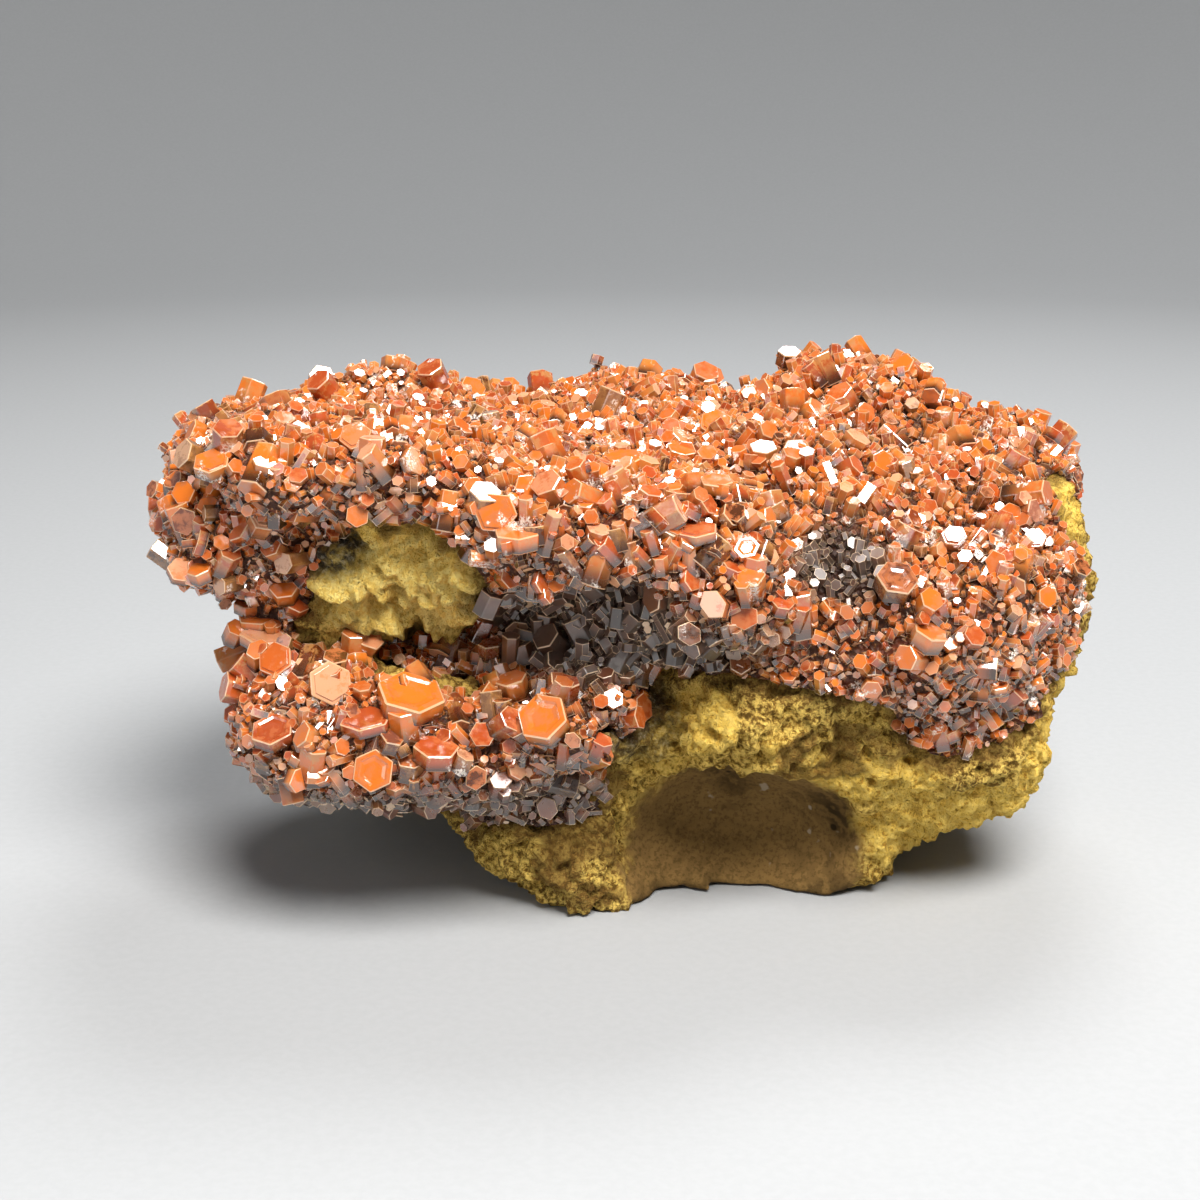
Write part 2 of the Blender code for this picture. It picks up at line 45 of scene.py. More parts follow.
MM = 0.001
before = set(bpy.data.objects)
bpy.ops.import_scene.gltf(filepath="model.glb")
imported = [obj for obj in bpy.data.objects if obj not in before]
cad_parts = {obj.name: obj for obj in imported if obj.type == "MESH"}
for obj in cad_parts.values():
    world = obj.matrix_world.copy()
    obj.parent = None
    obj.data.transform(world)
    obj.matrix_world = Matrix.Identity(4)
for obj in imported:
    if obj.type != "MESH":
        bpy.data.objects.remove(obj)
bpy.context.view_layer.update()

# The large crystals: the place on the crust that they grow from, the width across corners, the
# length, the way the axis points and the tone, from 0 for dark brown to 1 for bright orange. Then
# the form of the end, where it isn't plain: sunk in the middle, or with a step on it.
PLAIN, HOPPER, STEPPED = "plain", "hopper", "stepped"
LARGE_CRYSTALS = [
    # left end
    ((-59, -33, 71), 5.7, 2.0, (-0.05, -0.35, 0.7), 0.92, STEPPED),
    ((-56, -35, 71), 2.9, 1.7, (0.4, -0.42, 0.6), 0.6),
    ((-51, -17, 74), 3.6, 1.8, (0.1, -0.3, 0.8), 0.6),
    ((-57, 5, 72), 2.4, 1.3, (0.2, -0.49, 0.6), 0.9),
    ((-64, 4, 71), 2.4, 1.3, (-0.2, -0.49, 0.6), 0.9),
    ((-70, 3, 69), 2.6, 1.3, (-0.5, -0.25, 0.7), 0.85),
    ((-51, -38, 72), 3.4, 1.7, (0.17, -0.28, 0.8), 0.75),
    ((-49, -39, 70), 1.7, 3.4, (0, -0.2, 0.9), 0.5),
    ((-47, -39, 70), 2.7, 1.4, (0.3, -0.8, 0.4), 0.92),
    ((-46, -40, 72), 2.8, 1.4, (0, -0.56, 0.5), 0.45),
    ((-41, -41, 70), 1.8, 4.8, (0.6, -0.17, 0.7), 0.8),
    ((-37, -41, 70), 2.0, 4.5, (0.05, -0.15, 0.95), 0.85),
    ((-34, -40, 72), 3.5, 5.3, (-0.45, -0.25, 0.7), 0.62),
    ((-38, -33, 75), 4.9, 1.7, (-0.1, -0.56, 0.55), 0.95, STEPPED),
    ((-53, -31, 62), 4.4, 3.5, (0.3, -0.49, 0.5), 0.3, STEPPED),
    ((-52, -29, 58), 1.9, 4.7, (0.6, -0.35, 0.5), 0.1),
    ((-65, -26, 62), 4.4, 1.8, (-0.2, -0.95, 0.1), 0.15),
    ((-61, -26, 63), 3.3, 2.1, (-0.1, -0.49, 0.6), 0.8),
    ((-62, -27, 60), 3.2, 2.7, (0.1, -0.25, 0.85), 0.3),
    ((-59, -30, 59), 2.6, 1.8, (0.2, -0.85, 0.4), 0.85),
    ((-56, -30, 60), 2.1, 5.0, (-0.1, -0.15, 0.95), 0.5),
    ((-66, -28, 54), 4.6, 1.5, (0.26, -0.52, 0.6), 0.6),
    ((-62, -29, 54), 4.4, 2.1, (-0.2, -0.25, 0.85), 0.75),
    ((-63, -28, 53), 2.7, 2.4, (-0.2, -0.85, 0.4), 0.5),
    ((-60, -24, 50), 3.3, 3.0, (0.1, -0.56, 0.5), 0.4),
    ((-50, -26, 51), 4.5, 2.7, (0, -0.49, 0.65), 0.62),
    ((-57, -21, 46), 5.2, 1.8, (0.05, -0.17, 0.93), 0.6),
    ((-55, -25, 50), 2.3, 1.5, (0.2, -0.56, 0.5), 0.85),
    ((-49, -26, 48), 3.6, 2.1, (0.3, -0.42, 0.6), 0.35),
    ((-70, -14, 60), 2.8, 1.8, (-0.8, -0.4, 0.4), 0.6),
    # left part of the brow
    ((-32, -39, 66), 2.4, 2.8, (-0.5, -0.25, 0.7), 0.45),
    ((-30, -39, 67), 2.1, 3.1, (-0.1, -0.2, 0.9), 0.5),
    ((-27, -40, 66), 2.0, 2.5, (-0.6, -0.35, 0.6), 0.5),
    ((-25, -39, 67), 2.8, 1.1, (0.2, -0.56, 0.5), 0.85),
    ((-26, -37, 63), 2.0, 1.1, (0.3, -0.49, 0.5), 0.9),
    ((-23, -40, 63), 2.0, 1.3, (-0.2, -0.49, 0.6), 0.85),
    ((-32, -35, 64), 1.9, 1.7, (0.25, -0.49, 0.65), 0.5),
    # brow
    ((-18, -43, 67), 6.1, 1.7, (-0.1, -0.93, 0.3), 1.0, STEPPED),
    ((-14, -38, 69), 4.0, 1.4, (0.3, -0.8, 0.4), 0.9),
    ((-14, -44, 66), 2.4, 4.7, (0, -0.12, 0.97), 0.65),
    ((-15, -46, 63), 6.4, 2.4, (0, -0.1, 0.98), 0.7),
    ((-11, -45, 63), 2.5, 6.4, (0.25, -0.15, 0.92), 0.45),
    ((-8, -45, 65), 2.2, 3.9, (-0.5, -0.2, 0.75), 0.4),
    ((-6, -38, 70), 3.1, 4.2, (-0.35, -0.25, 0.8), 0.55),
    ((-4, -45, 64), 3.6, 1.9, (0.2, -0.25, 0.85), 0.45),
    ((-6, -42, 67), 2.8, 2.0, (0.15, -0.35, 0.7), 0.8),
    ((-7, -46, 59), 2.2, 5.0, (-0.45, -0.2, 0.75), 0.2),
    ((-1, -46, 61), 2.8, 3.9, (-0.6, -0.17, 0.7), 0.35),
    ((3, -44, 60), 2.1, 3.6, (-0.6, -0.17, 0.7), 0.38),
    ((-4, -46, 61), 1.8, 1.7, (0, -0.35, 0.7), 0.25),
    ((0, -23, 69), 6.8, 2.1, (-0.1, -0.15, 0.95), 0.85, STEPPED),
    ((1, -26, 68), 3.5, 3.2, (-0.4, -0.25, 0.75), 0.8),
    ((8, -16, 68), 4.6, 1.8, (0.2, -0.17, 0.92), 0.7),
    ((13, -15, 69), 2.9, 1.5, (0.1, -0.35, 0.7), 0.6),
    ((13, -36, 69), 4.8, 2.1, (0, -0.21, 0.9), 0.88),
    ((7, -35, 68), 3.1, 1.9, (0, -0.15, 0.95), 0.72),
    ((9, -38, 68), 1.6, 1.7, (0.15, -0.35, 0.7), 0.5),
    ((3, -41, 68), 3.4, 2.4, (0.3, -0.23, 0.85), 0.5),
    ((-2, -42, 68), 3.1, 2.5, (-0.4, -0.25, 0.75), 0.5),
    ((1, -43, 65), 2.8, 1.8, (0.3, -0.25, 0.8), 0.4),
    ((4, -44, 62), 2.2, 3.9, (-0.25, -0.2, 0.88), 0.5),
    ((7, -41, 65), 5.1, 2.0, (-0.45, -0.23, 0.75), 0.65),
    ((10, -42, 63), 6.5, 1.5, (-0.05, -0.15, 0.95), 0.4, STEPPED),
    ((9, -44, 59), 2.2, 4.5, (0, -0.15, 0.95), 0.6),
    ((8, -44, 59), 1.8, 1.1, (0.1, -0.35, 0.7), 0.5),
    ((18, -43, 58), 3.4, 3.7, (0.1, -0.17, 0.93), 0.62),
    ((14, -40, 63), 1.7, 2.8, (0.2, -0.2, 0.9), 0.55),
    ((17, -40, 64), 1.8, 3.7, (0.6, -0.28, 0.6), 0.88),
    ((17, -42, 61), 3.7, 1.7, (0, -0.56, 0.5), 0.75, HOPPER),
    ((13, -39, 65), 2.5, 1.7, (0, -0.3, 0.75), 0.7, HOPPER),
    ((10, -39, 66), 1.8, 1.1, (-0.1, -0.49, 0.6), 0.5),
    ((15, -44, 58), 3.1, 2.0, (0.3, -0.25, 0.8), 0.35),
    ((15, 0, 70), 5.4, 1.9, (0, -0.56, 0.6), 0.97, STEPPED),
    ((8, 7, 70), 3.2, 2.9, (-0.3, -0.25, 0.8), 0.6),
    ((21, 5, 71), 2.9, 1.9, (0.5, -0.42, 0.6), 0.85),
    ((28, -11, 73), 2.5, 1.5, (0.6, -0.75, 0.2), 0.9),
    ((25, -11, 72), 1.7, 2.1, (0.3, -0.3, 0.7), 0.5),
    ((22, -12, 71), 3.4, 2.4, (0.3, -0.49, 0.6), 0.6),
    ((35, -13, 70), 4.3, 1.8, (0.45, -0.2, 0.8), 0.6),
    # recess: the low tones here are partly painted shade
    ((-17, -34, 53), 3.5, 1.7, (-0.2, -0.49, 0.65), 0.15, HOPPER),
    ((-11, -27, 51), 2.4, 3.6, (-0.1, -0.2, 0.9), 0.2),
    ((-9, -27, 51), 2.2, 3.0, (0.2, -0.25, 0.85), 0.2),
    ((-19, -33, 52), 7.6, 2.5, (0.05, -0.1, 0.97), 0.5),
    ((-6, -28, 49), 3.3, 2.4, (0.1, -0.3, 0.75), 0.2),
    ((-8, -25, 47), 3.9, 2.1, (0.1, -0.25, 0.85), 0.15, HOPPER),
    ((-20, -23, 45), 2.4, 3.6, (-0.5, -0.35, 0.6), 0.4),
    ((-17, -26, 47), 2.4, 1.8, (0.4, -0.25, 0.7), 0.6),
    ((1, -32, 49), 7.1, 2.6, (0.25, -0.17, 0.9), 0.25, STEPPED),
    ((10, -44, 54), 2.2, 2.2, (0.2, -0.25, 0.85), 0.25),
    ((17, -44, 52), 4.1, 1.7, (-0.05, -0.95, 0.25), 0.45),
    ((13, -45, 54), 4.2, 2.0, (-0.4, -0.8, 0.35), 0.4),
    ((15, -43, 50), 3.7, 1.7, (0, -0.15, 0.95), 0.5),
    ((24, -34, 54), 2.2, 1.3, (0.2, -0.9, 0.3), 0.7),
    ((26, -34, 53), 1.7, 1.2, (0.3, -0.8, 0.4), 0.5),
    ((22, -40, 52), 3.4, 2.0, (0.2, -0.3, 0.75), 0.4),
    # shelf
    ((-53, -24, 42), 9.7, 1.8, (0.05, -0.15, 0.95), 0.85, STEPPED),
    ((-54, -22, 45), 7.0, 1.5, (-0.05, -0.15, 0.95), 0.7),
    ((-51, -31, 41), 5.6, 2.1, (-0.1, -0.59, 0.5), 0.55, STEPPED),
    ((-53, -34, 37), 2.1, 1.2, (0.2, -0.56, 0.5), 0.95),
    ((-55, -35, 35), 2.1, 1.2, (-0.3, -0.56, 0.5), 0.9),
    ((-43, -37, 40), 6.7, 1.9, (0.3, -0.85, 0.3), 0.9, STEPPED),
    ((-41, -37, 40), 2.3, 3.2, (-0.3, -0.25, 0.8), 0.45),
    ((-40, -29, 41), 3.9, 5.4, (0.1, -0.15, 0.95), 0.62),
    ((-35, -37, 40), 2.9, 1.2, (0.4, -0.42, 0.6), 0.9),
    ((-38, -38, 39), 2.9, 2.3, (0, -0.25, 0.85), 0.5),
    ((-31, -40, 38), 10.1, 2.7, (0.15, -0.28, 0.82), 0.95, HOPPER),
    ((-30, -42, 35), 2.0, 2.6, (0.1, -0.2, 0.9), 0.4),
    ((-37, -42, 35), 7.8, 1.6, (-0.1, -0.17, 0.93), 0.35, STEPPED),
    ((-34, -42, 33), 4.3, 2.6, (0.3, -0.3, 0.7), 0.15),
    ((-51, -40, 33), 6.7, 2.0, (-0.1, -0.35, 0.7), 0.3, HOPPER),
    ((-45, -42, 33), 3.8, 2.6, (-0.6, -0.42, 0.5), 0.8),
    ((-36, -44, 29), 6.3, 1.9, (0, -0.88, 0.35), 0.72, HOPPER),
    ((-48, -42, 27), 4.1, 2.0, (0.6, -0.6, 0.1), 0.85),
    ((-31, -43, 28), 4.1, 3.5, (0.1, -0.3, 0.7), 0.12),
    ((-27, -44, 31), 6.9, 2.6, (0.1, -0.17, 0.93), 0.4),
    ((-27, -43, 27), 2.5, 4.1, (0, -0.2, 0.9), 0.6),
    ((-29, -22, 40), 3.4, 1.2, (0.1, -0.2, 0.9), 0.85),
    ((-17, -28, 40), 2.8, 6.3, (0.05, -0.15, 0.95), 0.6),
    ((-20, -27, 41), 3.9, 2.7, (0, -0.15, 0.95), 0.5),
    ((-16, -34, 37), 4.9, 3.2, (-0.2, -0.15, 0.92), 0.6),
    ((-9, -38, 38), 4.2, 3.2, (0.1, -0.15, 0.95), 0.3),
    ((-20, -37, 36), 2.6, 1.8, (-0.3, -0.3, 0.7), 0.7),
    ((-23, -38, 36), 2.0, 1.5, (0.2, -0.5, 0.65), 0.5),
    ((-18, -40, 34), 4.4, 4.1, (0.5, -0.42, 0.5), 0.3),
    ((-11, -41, 35), 7.9, 2.7, (-0.22, -0.52, 0.6), 0.9, HOPPER),
    ((-9, -40, 29), 2.6, 5.0, (0.1, -0.25, 0.8), 0.5),
    ((-5, -39, 29), 3.5, 4.4, (0.6, -0.5, 0.4), 0.4),
    ((-1, -35, 35), 3.5, 4.7, (0.8, -0.45, 0.2), 0.45),
    ((2, -31, 34), 4.5, 1.5, (0.75, -0.45, 0.3), 0.4),
    ((-4, -41, 30), 3.2, 3.8, (0.2, -0.3, 0.7), 0.4),
    ((0, -33, 32), 3.3, 2.4, (0.5, -0.42, 0.5), 0.35),
    ((-3, -34, 38), 2.9, 2.7, (-0.1, -0.25, 0.85), 0.45),
    ((-2, -30, 42), 4.2, 3.0, (0.1, -0.25, 0.85), 0.3),
    ((-4, -31, 40), 2.1, 3.3, (-0.8, -0.4, 0.3), 0.5),
    ((1, -29, 44), 2.1, 5.1, (0.3, -0.25, 0.7), 0.2),
    # peak and shoulder
    ((18, -18, 68), 2.7, 3.3, (-0.2, -0.2, 0.9), 0.65),
    ((21, -18, 69), 4.2, 2.4, (0, -0.3, 0.8), 0.6),
    ((25, -21, 69), 3.6, 2.7, (0.2, -0.25, 0.8), 0.6),
    ((24, -27, 67), 2.3, 5.3, (-0.35, -0.2, 0.85), 0.5),
    ((18, -23, 66), 1.9, 3.0, (0.2, -0.25, 0.8), 0.5),
    ((33, -26, 65), 2.1, 3.3, (0.1, -0.2, 0.9), 0.5),
    ((33, -21, 68), 3.3, 3.0, (0.6, -0.35, 0.5), 0.5),
    ((26, 21, 78), 4.0, 2.7, (0.1, -0.3, 0.8), 0.1),
    # right flank
    ((59, -18, 65), 4.2, 7.0, (0.8, -0.5, 0.25), 0.6),
    ((61, -20, 62), 3.9, 2.7, (0.5, -0.8, 0.1), 0.25),
    ((61, -23, 57), 3.6, 2.4, (-0.1, -0.56, 0.5), 0.35, STEPPED),
    ((55, -16, 63), 3.4, 2.4, (0.6, -0.7, 0.4), 0.5),
    ((58, -20, 61), 3.6, 1.8, (0.1, -0.9, 0.35), 0.6),
    ((46, -20, 62), 3.0, 1.5, (-0.2, -0.9, 0.4), 0.5),
    ((39, -33, 58), 1.7, 3.8, (0.9, -0.35, 0.1), 0.5),
    ((39, -31, 60), 1.8, 3.5, (0.6, -0.28, 0.6), 0.45),
    ((38, -25, 63), 1.8, 3.6, (-0.5, -0.2, 0.7), 0.5),
    ((39, -37, 55), 6.3, 2.9, (0.1, -0.49, 0.65), 0.15, HOPPER),
    ((43, -39, 52), 4.0, 2.9, (0.3, -0.49, 0.6), 0.7),
    ((46, -38, 51), 2.3, 2.9, (-0.3, -0.3, 0.7), 0.5),
    ((43, -40, 47), 5.5, 2.9, (0.3, -0.25, 0.8), 0.8),
    ((39, -15, 68), 3.8, 1.8, (0.3, -0.85, 0.35), 0.72, STEPPED),
    ((54, -32, 56), 3.8, 2.0, (-0.1, -0.9, 0.35), 0.6),
    ((54, -35, 53), 2.0, 3.5, (0.1, -0.25, 0.85), 0.85),
    ((56, -34, 54), 1.7, 2.6, (0.1, -0.35, 0.7), 0.45),
    ((61, -31, 51), 3.4, 2.1, (0.4, -0.8, 0.4), 0.88),
    ((48, -30, 59), 3.8, 3.2, (0, -0.56, 0.55), 0.3, STEPPED),
    ((45, -31, 58), 2.3, 2.6, (0.5, -0.7, 0.4), 0.8),
    ((44, -24, 61), 2.1, 1.3, (0, -0.56, 0.5), 0.88),
    ((48, -35, 54), 2.6, 2.0, (-0.4, -0.49, 0.5), 0.25),
    ((53, -38, 48), 1.7, 2.9, (-0.3, -0.52, 0.55), 0.5),
    ((47, -39, 46), 2.3, 1.3, (0.1, -0.56, 0.5), 0.9),
    ((50, -38, 47), 3.5, 2.0, (0.2, -0.56, 0.5), 0.45),
    ((66, -22, 55), 2.1, 1.4, (0.6, -0.7, 0.3), 0.8),
]

# Zones on the specimen: centre and radii. Crystals grew larger in some of them, and in the hollows shade
# is painted on the crystals and the bed.
BROW = ((-6, -44, 62), (38, 14, 12))
LEFT_END = ((-60, -24, 60), (20, 24, 14))
SHELF = ((-30, -36, 31), (38, 24, 17))
RECESS = ((-2, -32, 48), (32, 17, 12))
CAVE = ((31, -36, 57), (9, 14, 7))
NOOK = ((22, -36, 67), (2.6, 8, 3.2))
WINDOW = ((-33, -30, 52), (16, 22, 12))
DISH = ((19, -24, 7), (20, 22, 18))
CREVICE = ((3, -36, 33), (7, 16, 11))
# The dark corner of the window and the crevice: near-black grey crumbs, partly a grey crust and partly
# painted shade.
UNDERSIDE = ((-28, -32, 19), (44, 24, 9))
DARK_CORNER = ((-44, -30, 60), (8, 12, 7))

# Where the rock is powdery and bright, rather than olive brown.
POWDERY = [
    ((-34, -30, 53), (17, 20, 13)),
    ((12, -34, 34), (6, 12, 6)),
    ((38, -30, 22), (14, 20, 5)),
    ((62, -6, 26), (24, 30, 16)),
    ((52, -22, 14), (18, 14, 12)),
    ((72, -8, 60), (9, 12, 9)),
]

# Where the rock is painted dark brown as shade: at the foot, right of the lump and left of the dish.
SHADE_PATCHES = [
    ((-4, -34, 9), (13, 13, 10)),
    ((31, -30, 27), (13, 14, 6)),
    ((-14, -34, 20), (12, 14, 7)),
]

# How much shade is painted on the crystals and the bed in the hollows, where the crystals are also
# rougher.
SHADED = ((RECESS, 1.0), (CAVE, 1.0), (NOOK, 0.7), (UNDERSIDE, 0.75))

SMOOTHED = 0.93  # the share of the rock's grain that is missing in the dish
CRAGS_END = 44  # the crags in the window keep their full height up to here, and fade above
CRAGS_FADE = 24
STAIN_REACH = 4  # from the crust's border

# The CAD crust is pressed in this far, so that the crystals on it reach its form.
BED_GRAIN, BED_ROUNDS, BED_DEPTH, NOOK_DEPTH = 1.0, 24, 1.7, 2.5
BED_HELD = 1.6  # nearer to the rock than this the bed stays where it is
BARE_BORDER = 1.0  # nearer to the rock than this nothing grows on the bed
TRIES = 2.5  # for each seat that there is room for
FARTHEST_SEAT = 5

# Lengths are in widths. Narrow crystals are more uneven than those over the width given.
FINE_LENGTHS = (0.7, 0.9, 1.2, 1.6, 2.1)
MEDIUM_LENGTHS = (0.35, 0.55, 0.8, 1.1, 1.5)
PLATE_LENGTH, PRISM_LENGTH = 0.35, 1.4
PLATE_CHAMFER, CHAMFER = 0.025, 0.03
UNEVEN, UNEVEN_LARGE, LARGE_ACROSS = 0.12, 0.04, 4.5
SIBLINGS = (0, 0, 1, 2)  # small ones beside a medium crystal
BESIDE_HOPPER = (0, 0, 1)
BESIDE_LARGE = (0, 1, 1, 2, 3)

# The studio, in metres and degrees.
FLOOR_REACH, FLOOR_BEND = 0.7, 0.5
LAMPS = (  # name, place, size and colour
    ("key", (0.17, -0.43, 0.74), 0.46, (1.0, 0.98, 0.95)),
    ("back", (0.12, 0.42, 0.74), 0.34, (1.0, 1.0, 1.0)),
    ("fill", (-0.52, -0.56, 0.40), 0.5, (0.95, 0.97, 1.0)),
)
LAMPS_AIM = Vector((0, 0, 0.04))
SKY_COLOUR = (0.93, 0.95, 1.0, 1)
CAMERA_PLACE = (-0.0035, -0.32683, 0.13572)
CAMERA_TILT, HALF_VIEW, SENSOR_WIDTH = 74, 16, 36


# ---------------- settings


def colour_setting(name, description, default):
    """A colour that can be set in the panel."""
    return FloatVectorProperty(
        name=name, description=description, default=default, subtype="COLOR", size=3
    )


def measure_setting(name, description, default, unit="LENGTH"):
    """A length or a power that can be set in the panel."""
    return FloatProperty(name=name, description=description, default=default, unit=unit)


class RockSettings(bpy.types.PropertyGroup):
    """The rock's grain and colours."""

    voxel: measure_setting("Mesh grain", "Spacing of the rock's vertices", 0.00062)
    grain_height: measure_setting("Grain height", "How far the rock's grains stand out", 0.0009)
    kept: FloatProperty(
        name="Kept detail", description="Share of the rock's faces kept at the end", default=0.6,
        min=0.05, max=1, subtype="FACTOR",
    )
    ochre: colour_setting("Ochre", "Bright, powdery rock", (0.95, 0.62, 0.11))
    # Partly pale powder, partly painted light on the grains' tops and in the window under the brow.
    pale: colour_setting("Pale ochre", "Tops of the grains", (0.98, 0.76, 0.25))
    olive: colour_setting("Olive", "Duller rock", (0.42, 0.235, 0.04))
    # Also painted as shade in the dark patches at the foot and beside the lump.
    brown: colour_setting("Stain", "Brown iron stain", (0.20, 0.105, 0.025))
    # Kept dark: partly the lining's brown, partly painted shade in the hollow.
    dish: colour_setting("Dish", "Smooth lining of the hollow", (0.098, 0.057, 0.018))


class CrystalSettings(bpy.types.PropertyGroup):
    """Sizes and colours of the crystals."""

    fine_across: measure_setting("Fine crystals", "Usual width of the fine druse", 0.00125)
    fine_spacing: measure_setting("Fine spacing", "Distance between fine crystals", 0.00096)
    medium_across: measure_setting("Medium crystals", "Usual width of medium crystals", 0.0032)
    medium_spacing: measure_setting("Medium spacing", "Distance between medium crystals", 0.0028)
    seed: IntProperty(name="Seed", description="Changes how the crystals fall", default=5)
    dark: colour_setting("Dark", "Darkest crystals", (0.09, 0.024, 0.006))
    red: colour_setting("Red", "Deep orange-red crystals", (0.43, 0.068, 0.013))
    orange: colour_setting("Orange", "Brightest crystals", (0.67, 0.160, 0.014))
    tan: colour_setting("Tan", "Prism faces", (0.50, 0.24, 0.075))
    rose: colour_setting("Rose", "End faces", (0.54, 0.165, 0.055))
    # Painted highlight along the crystals' edges; the same pale colour lies on the ends of some crystals.
    edge: colour_setting("Edges", "Pale crystal edges", (0.92, 0.66, 0.42))


class StageSettings(bpy.types.PropertyGroup):
    """The floor and the lights."""

    floor: colour_setting("Floor", "Colour of the floor", (0.40, 0.41, 0.42))
    key_power: measure_setting("Key light", "Power of the main light", 14.0, "POWER")
    back_power: measure_setting("Back light", "Power of the light behind", 4.5, "POWER")
    fill_power: measure_setting("Fill light", "Power of the soft light", 1.0, "POWER")
    sky: FloatProperty(name="Surroundings", description="Strength of the even light", default=0.065)


# ---------------- small tools


def level(zone, point):
    """Below 1 inside a zone and above 1 outside it, for a point in metres."""
    centre, radii = zone
    return sum(((p / MM - c) / r) ** 2 for p, c, r in zip(point, centre, radii))


def clamped(value):
    """The value, kept between 0 and 1."""
    return min(max(value, 0), 1)


def within(zone, point):
    """1 in the middle of a zone, falling smoothly to 0 at its border."""
    share = clamped(1.5 * (1 - level(zone, point)))
    return share * share * (3 - 2 * share)


def deepest(zones, point):
    """How deep a point lies in any of the zones, from 0 to 1."""
    return max(within(zone, point) for zone in zones)


def linked(name, mesh):
    """A new object in the scene."""
    made = bpy.data.objects.new(name, mesh)
    bpy.context.scene.collection.objects.link(made)
    return made


def merged_copy(node, name):
    """A copy of a CAD node with its loose triangles joined."""
    bm = bmesh.new()
    bm.from_mesh(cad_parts[node].data)
    bmesh.ops.remove_doubles(bm, verts=bm.verts, dist=0.00001)
    mesh = bpy.data.meshes.new(name)
    bm.to_mesh(mesh)
    bm.free()
    return linked(name, mesh)


def applied(obj, kind, **settings):
    """Adds a modifier to an object and applies it."""
    modifier = obj.modifiers.new(kind.lower(), kind)
    for key, value in settings.items():
        setattr(modifier, key, value)
    graph = bpy.context.evaluated_depsgraph_get()
    mesh = bpy.data.meshes.new_from_object(obj.evaluated_get(graph))
    obj.modifiers.clear()
    obj.data = mesh


def tree_of(mesh):
    """A search tree of a mesh's surface."""
    return BVHTree.FromPolygons([v.co for v in mesh.vertices], [p.vertices for p in mesh.polygons])


def node_tree(node):
    """A search tree of a CAD node's surface."""
    return tree_of(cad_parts[node].data)


def displaced(obj, distance):
    """Moves each vertex along its normal by distance(its place), in metres."""
    bm = bmesh.new()
    bm.from_mesh(obj.data)
    bm.normal_update()
    moved = [v.co + v.normal * distance(v.co) for v in bm.verts]
    for vert, co in zip(bm.verts, moved):
        vert.co = co
    bm.to_mesh(obj.data)
    bm.free()


def vertex_attribute(mesh, name, values):
    """Stores a number for each vertex, for the materials to read."""
    layer = mesh.attributes.new(name, "FLOAT", "POINT")
    layer.data.foreach_set("value", np.asarray(values, np.float32))


def finished(piece, material, slot, *nodes):
    """Dresses a piece, hangs it from the root body and hides the CAD nodes that it stands for."""
    piece.data.materials.clear()
    piece.data.materials.append(material)
    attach(piece, "root")
    if nodes:
        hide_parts(*nodes)


def scaled(colour, factor):
    """A colour made darker or brighter."""
    return [factor * part for part in colour]


class Nodes:
    """Writes a material's node tree."""

    def __init__(self, name):
        self.material = bpy.data.materials.new(name)
        self.material.use_nodes = True
        self.tree = self.material.node_tree
        self.shader = self.tree.nodes["Principled BSDF"]
        self.place = self.add("ShaderNodeTexCoord").outputs["Object"]

    def add(self, kind, inputs=(), **settings):
        node = self.tree.nodes.new(kind)
        for key, value in settings.items():
            setattr(node, key, value)
        for key, value in dict(inputs).items():
            self.feed(node.inputs[key], value)
        return node

    def feed(self, socket, value):
        if isinstance(value, bpy.types.NodeSocket):
            self.tree.links.new(value, socket)
        elif isinstance(value, (int, float)) or not hasattr(socket, "default_value"):
            socket.default_value = value
        else:
            socket.default_value = tuple(value) + (1,) * (len(socket.default_value) - len(value))

    def surface(self, name, value):
        self.feed(self.shader.inputs[name], value)

    def noise(self, size_mm, detail=3.0, roughness=0.5):
        inputs = {
            "Vector": self.place, "Scale": 1 / (size_mm * MM), "Detail": detail, "Roughness": roughness,
        }
        return self.add("ShaderNodeTexNoise", inputs).outputs["Fac"]

    def cells(self, size_mm):
        inputs = {"Vector": self.place, "Scale": 1 / (size_mm * MM)}
        return self.add("ShaderNodeTexVoronoi", inputs).outputs["Distance"]

    def math(self, operation, *values):
        node = self.add("ShaderNodeMath", enumerate(values), operation=operation)
        return node.outputs[0]

    def times(self, first, second):
        return self.math("MULTIPLY", first, second)

    def ramp(self, value, low, high, start=0.0, end=1.0):
        inputs = {"Value": value, "From Min": low, "From Max": high, "To Min": start, "To Max": end}
        return self.add("ShaderNodeMapRange", inputs, interpolation_type="SMOOTHSTEP").outputs[0]

    def mix(self, share, first, second):
        node = self.add("ShaderNodeMix", data_type="RGBA")
        self.feed(node.inputs[0], share)
        self.feed(node.inputs[6], first)
        self.feed(node.inputs[7], second)
        return node.outputs[2]

    def attribute(self, name, output="Fac"):
        return self.add("ShaderNodeAttribute", attribute_name=name).outputs[output]

    def bump(self, height, strength, distance_mm, normal=None):
        inputs = {"Height": height, "Strength": strength, "Distance": distance_mm * MM}
        if normal:
            inputs["Normal"] = normal
        return self.add("ShaderNodeBump", inputs).outputs["Normal"]


# ---------------- the rock's form


def grain(place, height):
    """How far the rock's lumps, crumbs and pits stand out, with lower ones in the dish."""
    at = place / MM
    lumps = 1.5 * noise.noise(at / 6) + 1.1 * noise.noise(at / 2.9)
    crumbs = 0.9 - 2.4 * noise.voronoi(at / 2.2)[0][0] ** 2
    pits = -1.6 * max(noise.noise(at / 2.4 + Vector((9, 0, 0))) - 0.15, 0) / 0.3
    fine = 0.8 * noise.noise(at / 1.1)
    return height * (1 - SMOOTHED * lining_at(place)) * (lumps + crumbs + pits + fine)


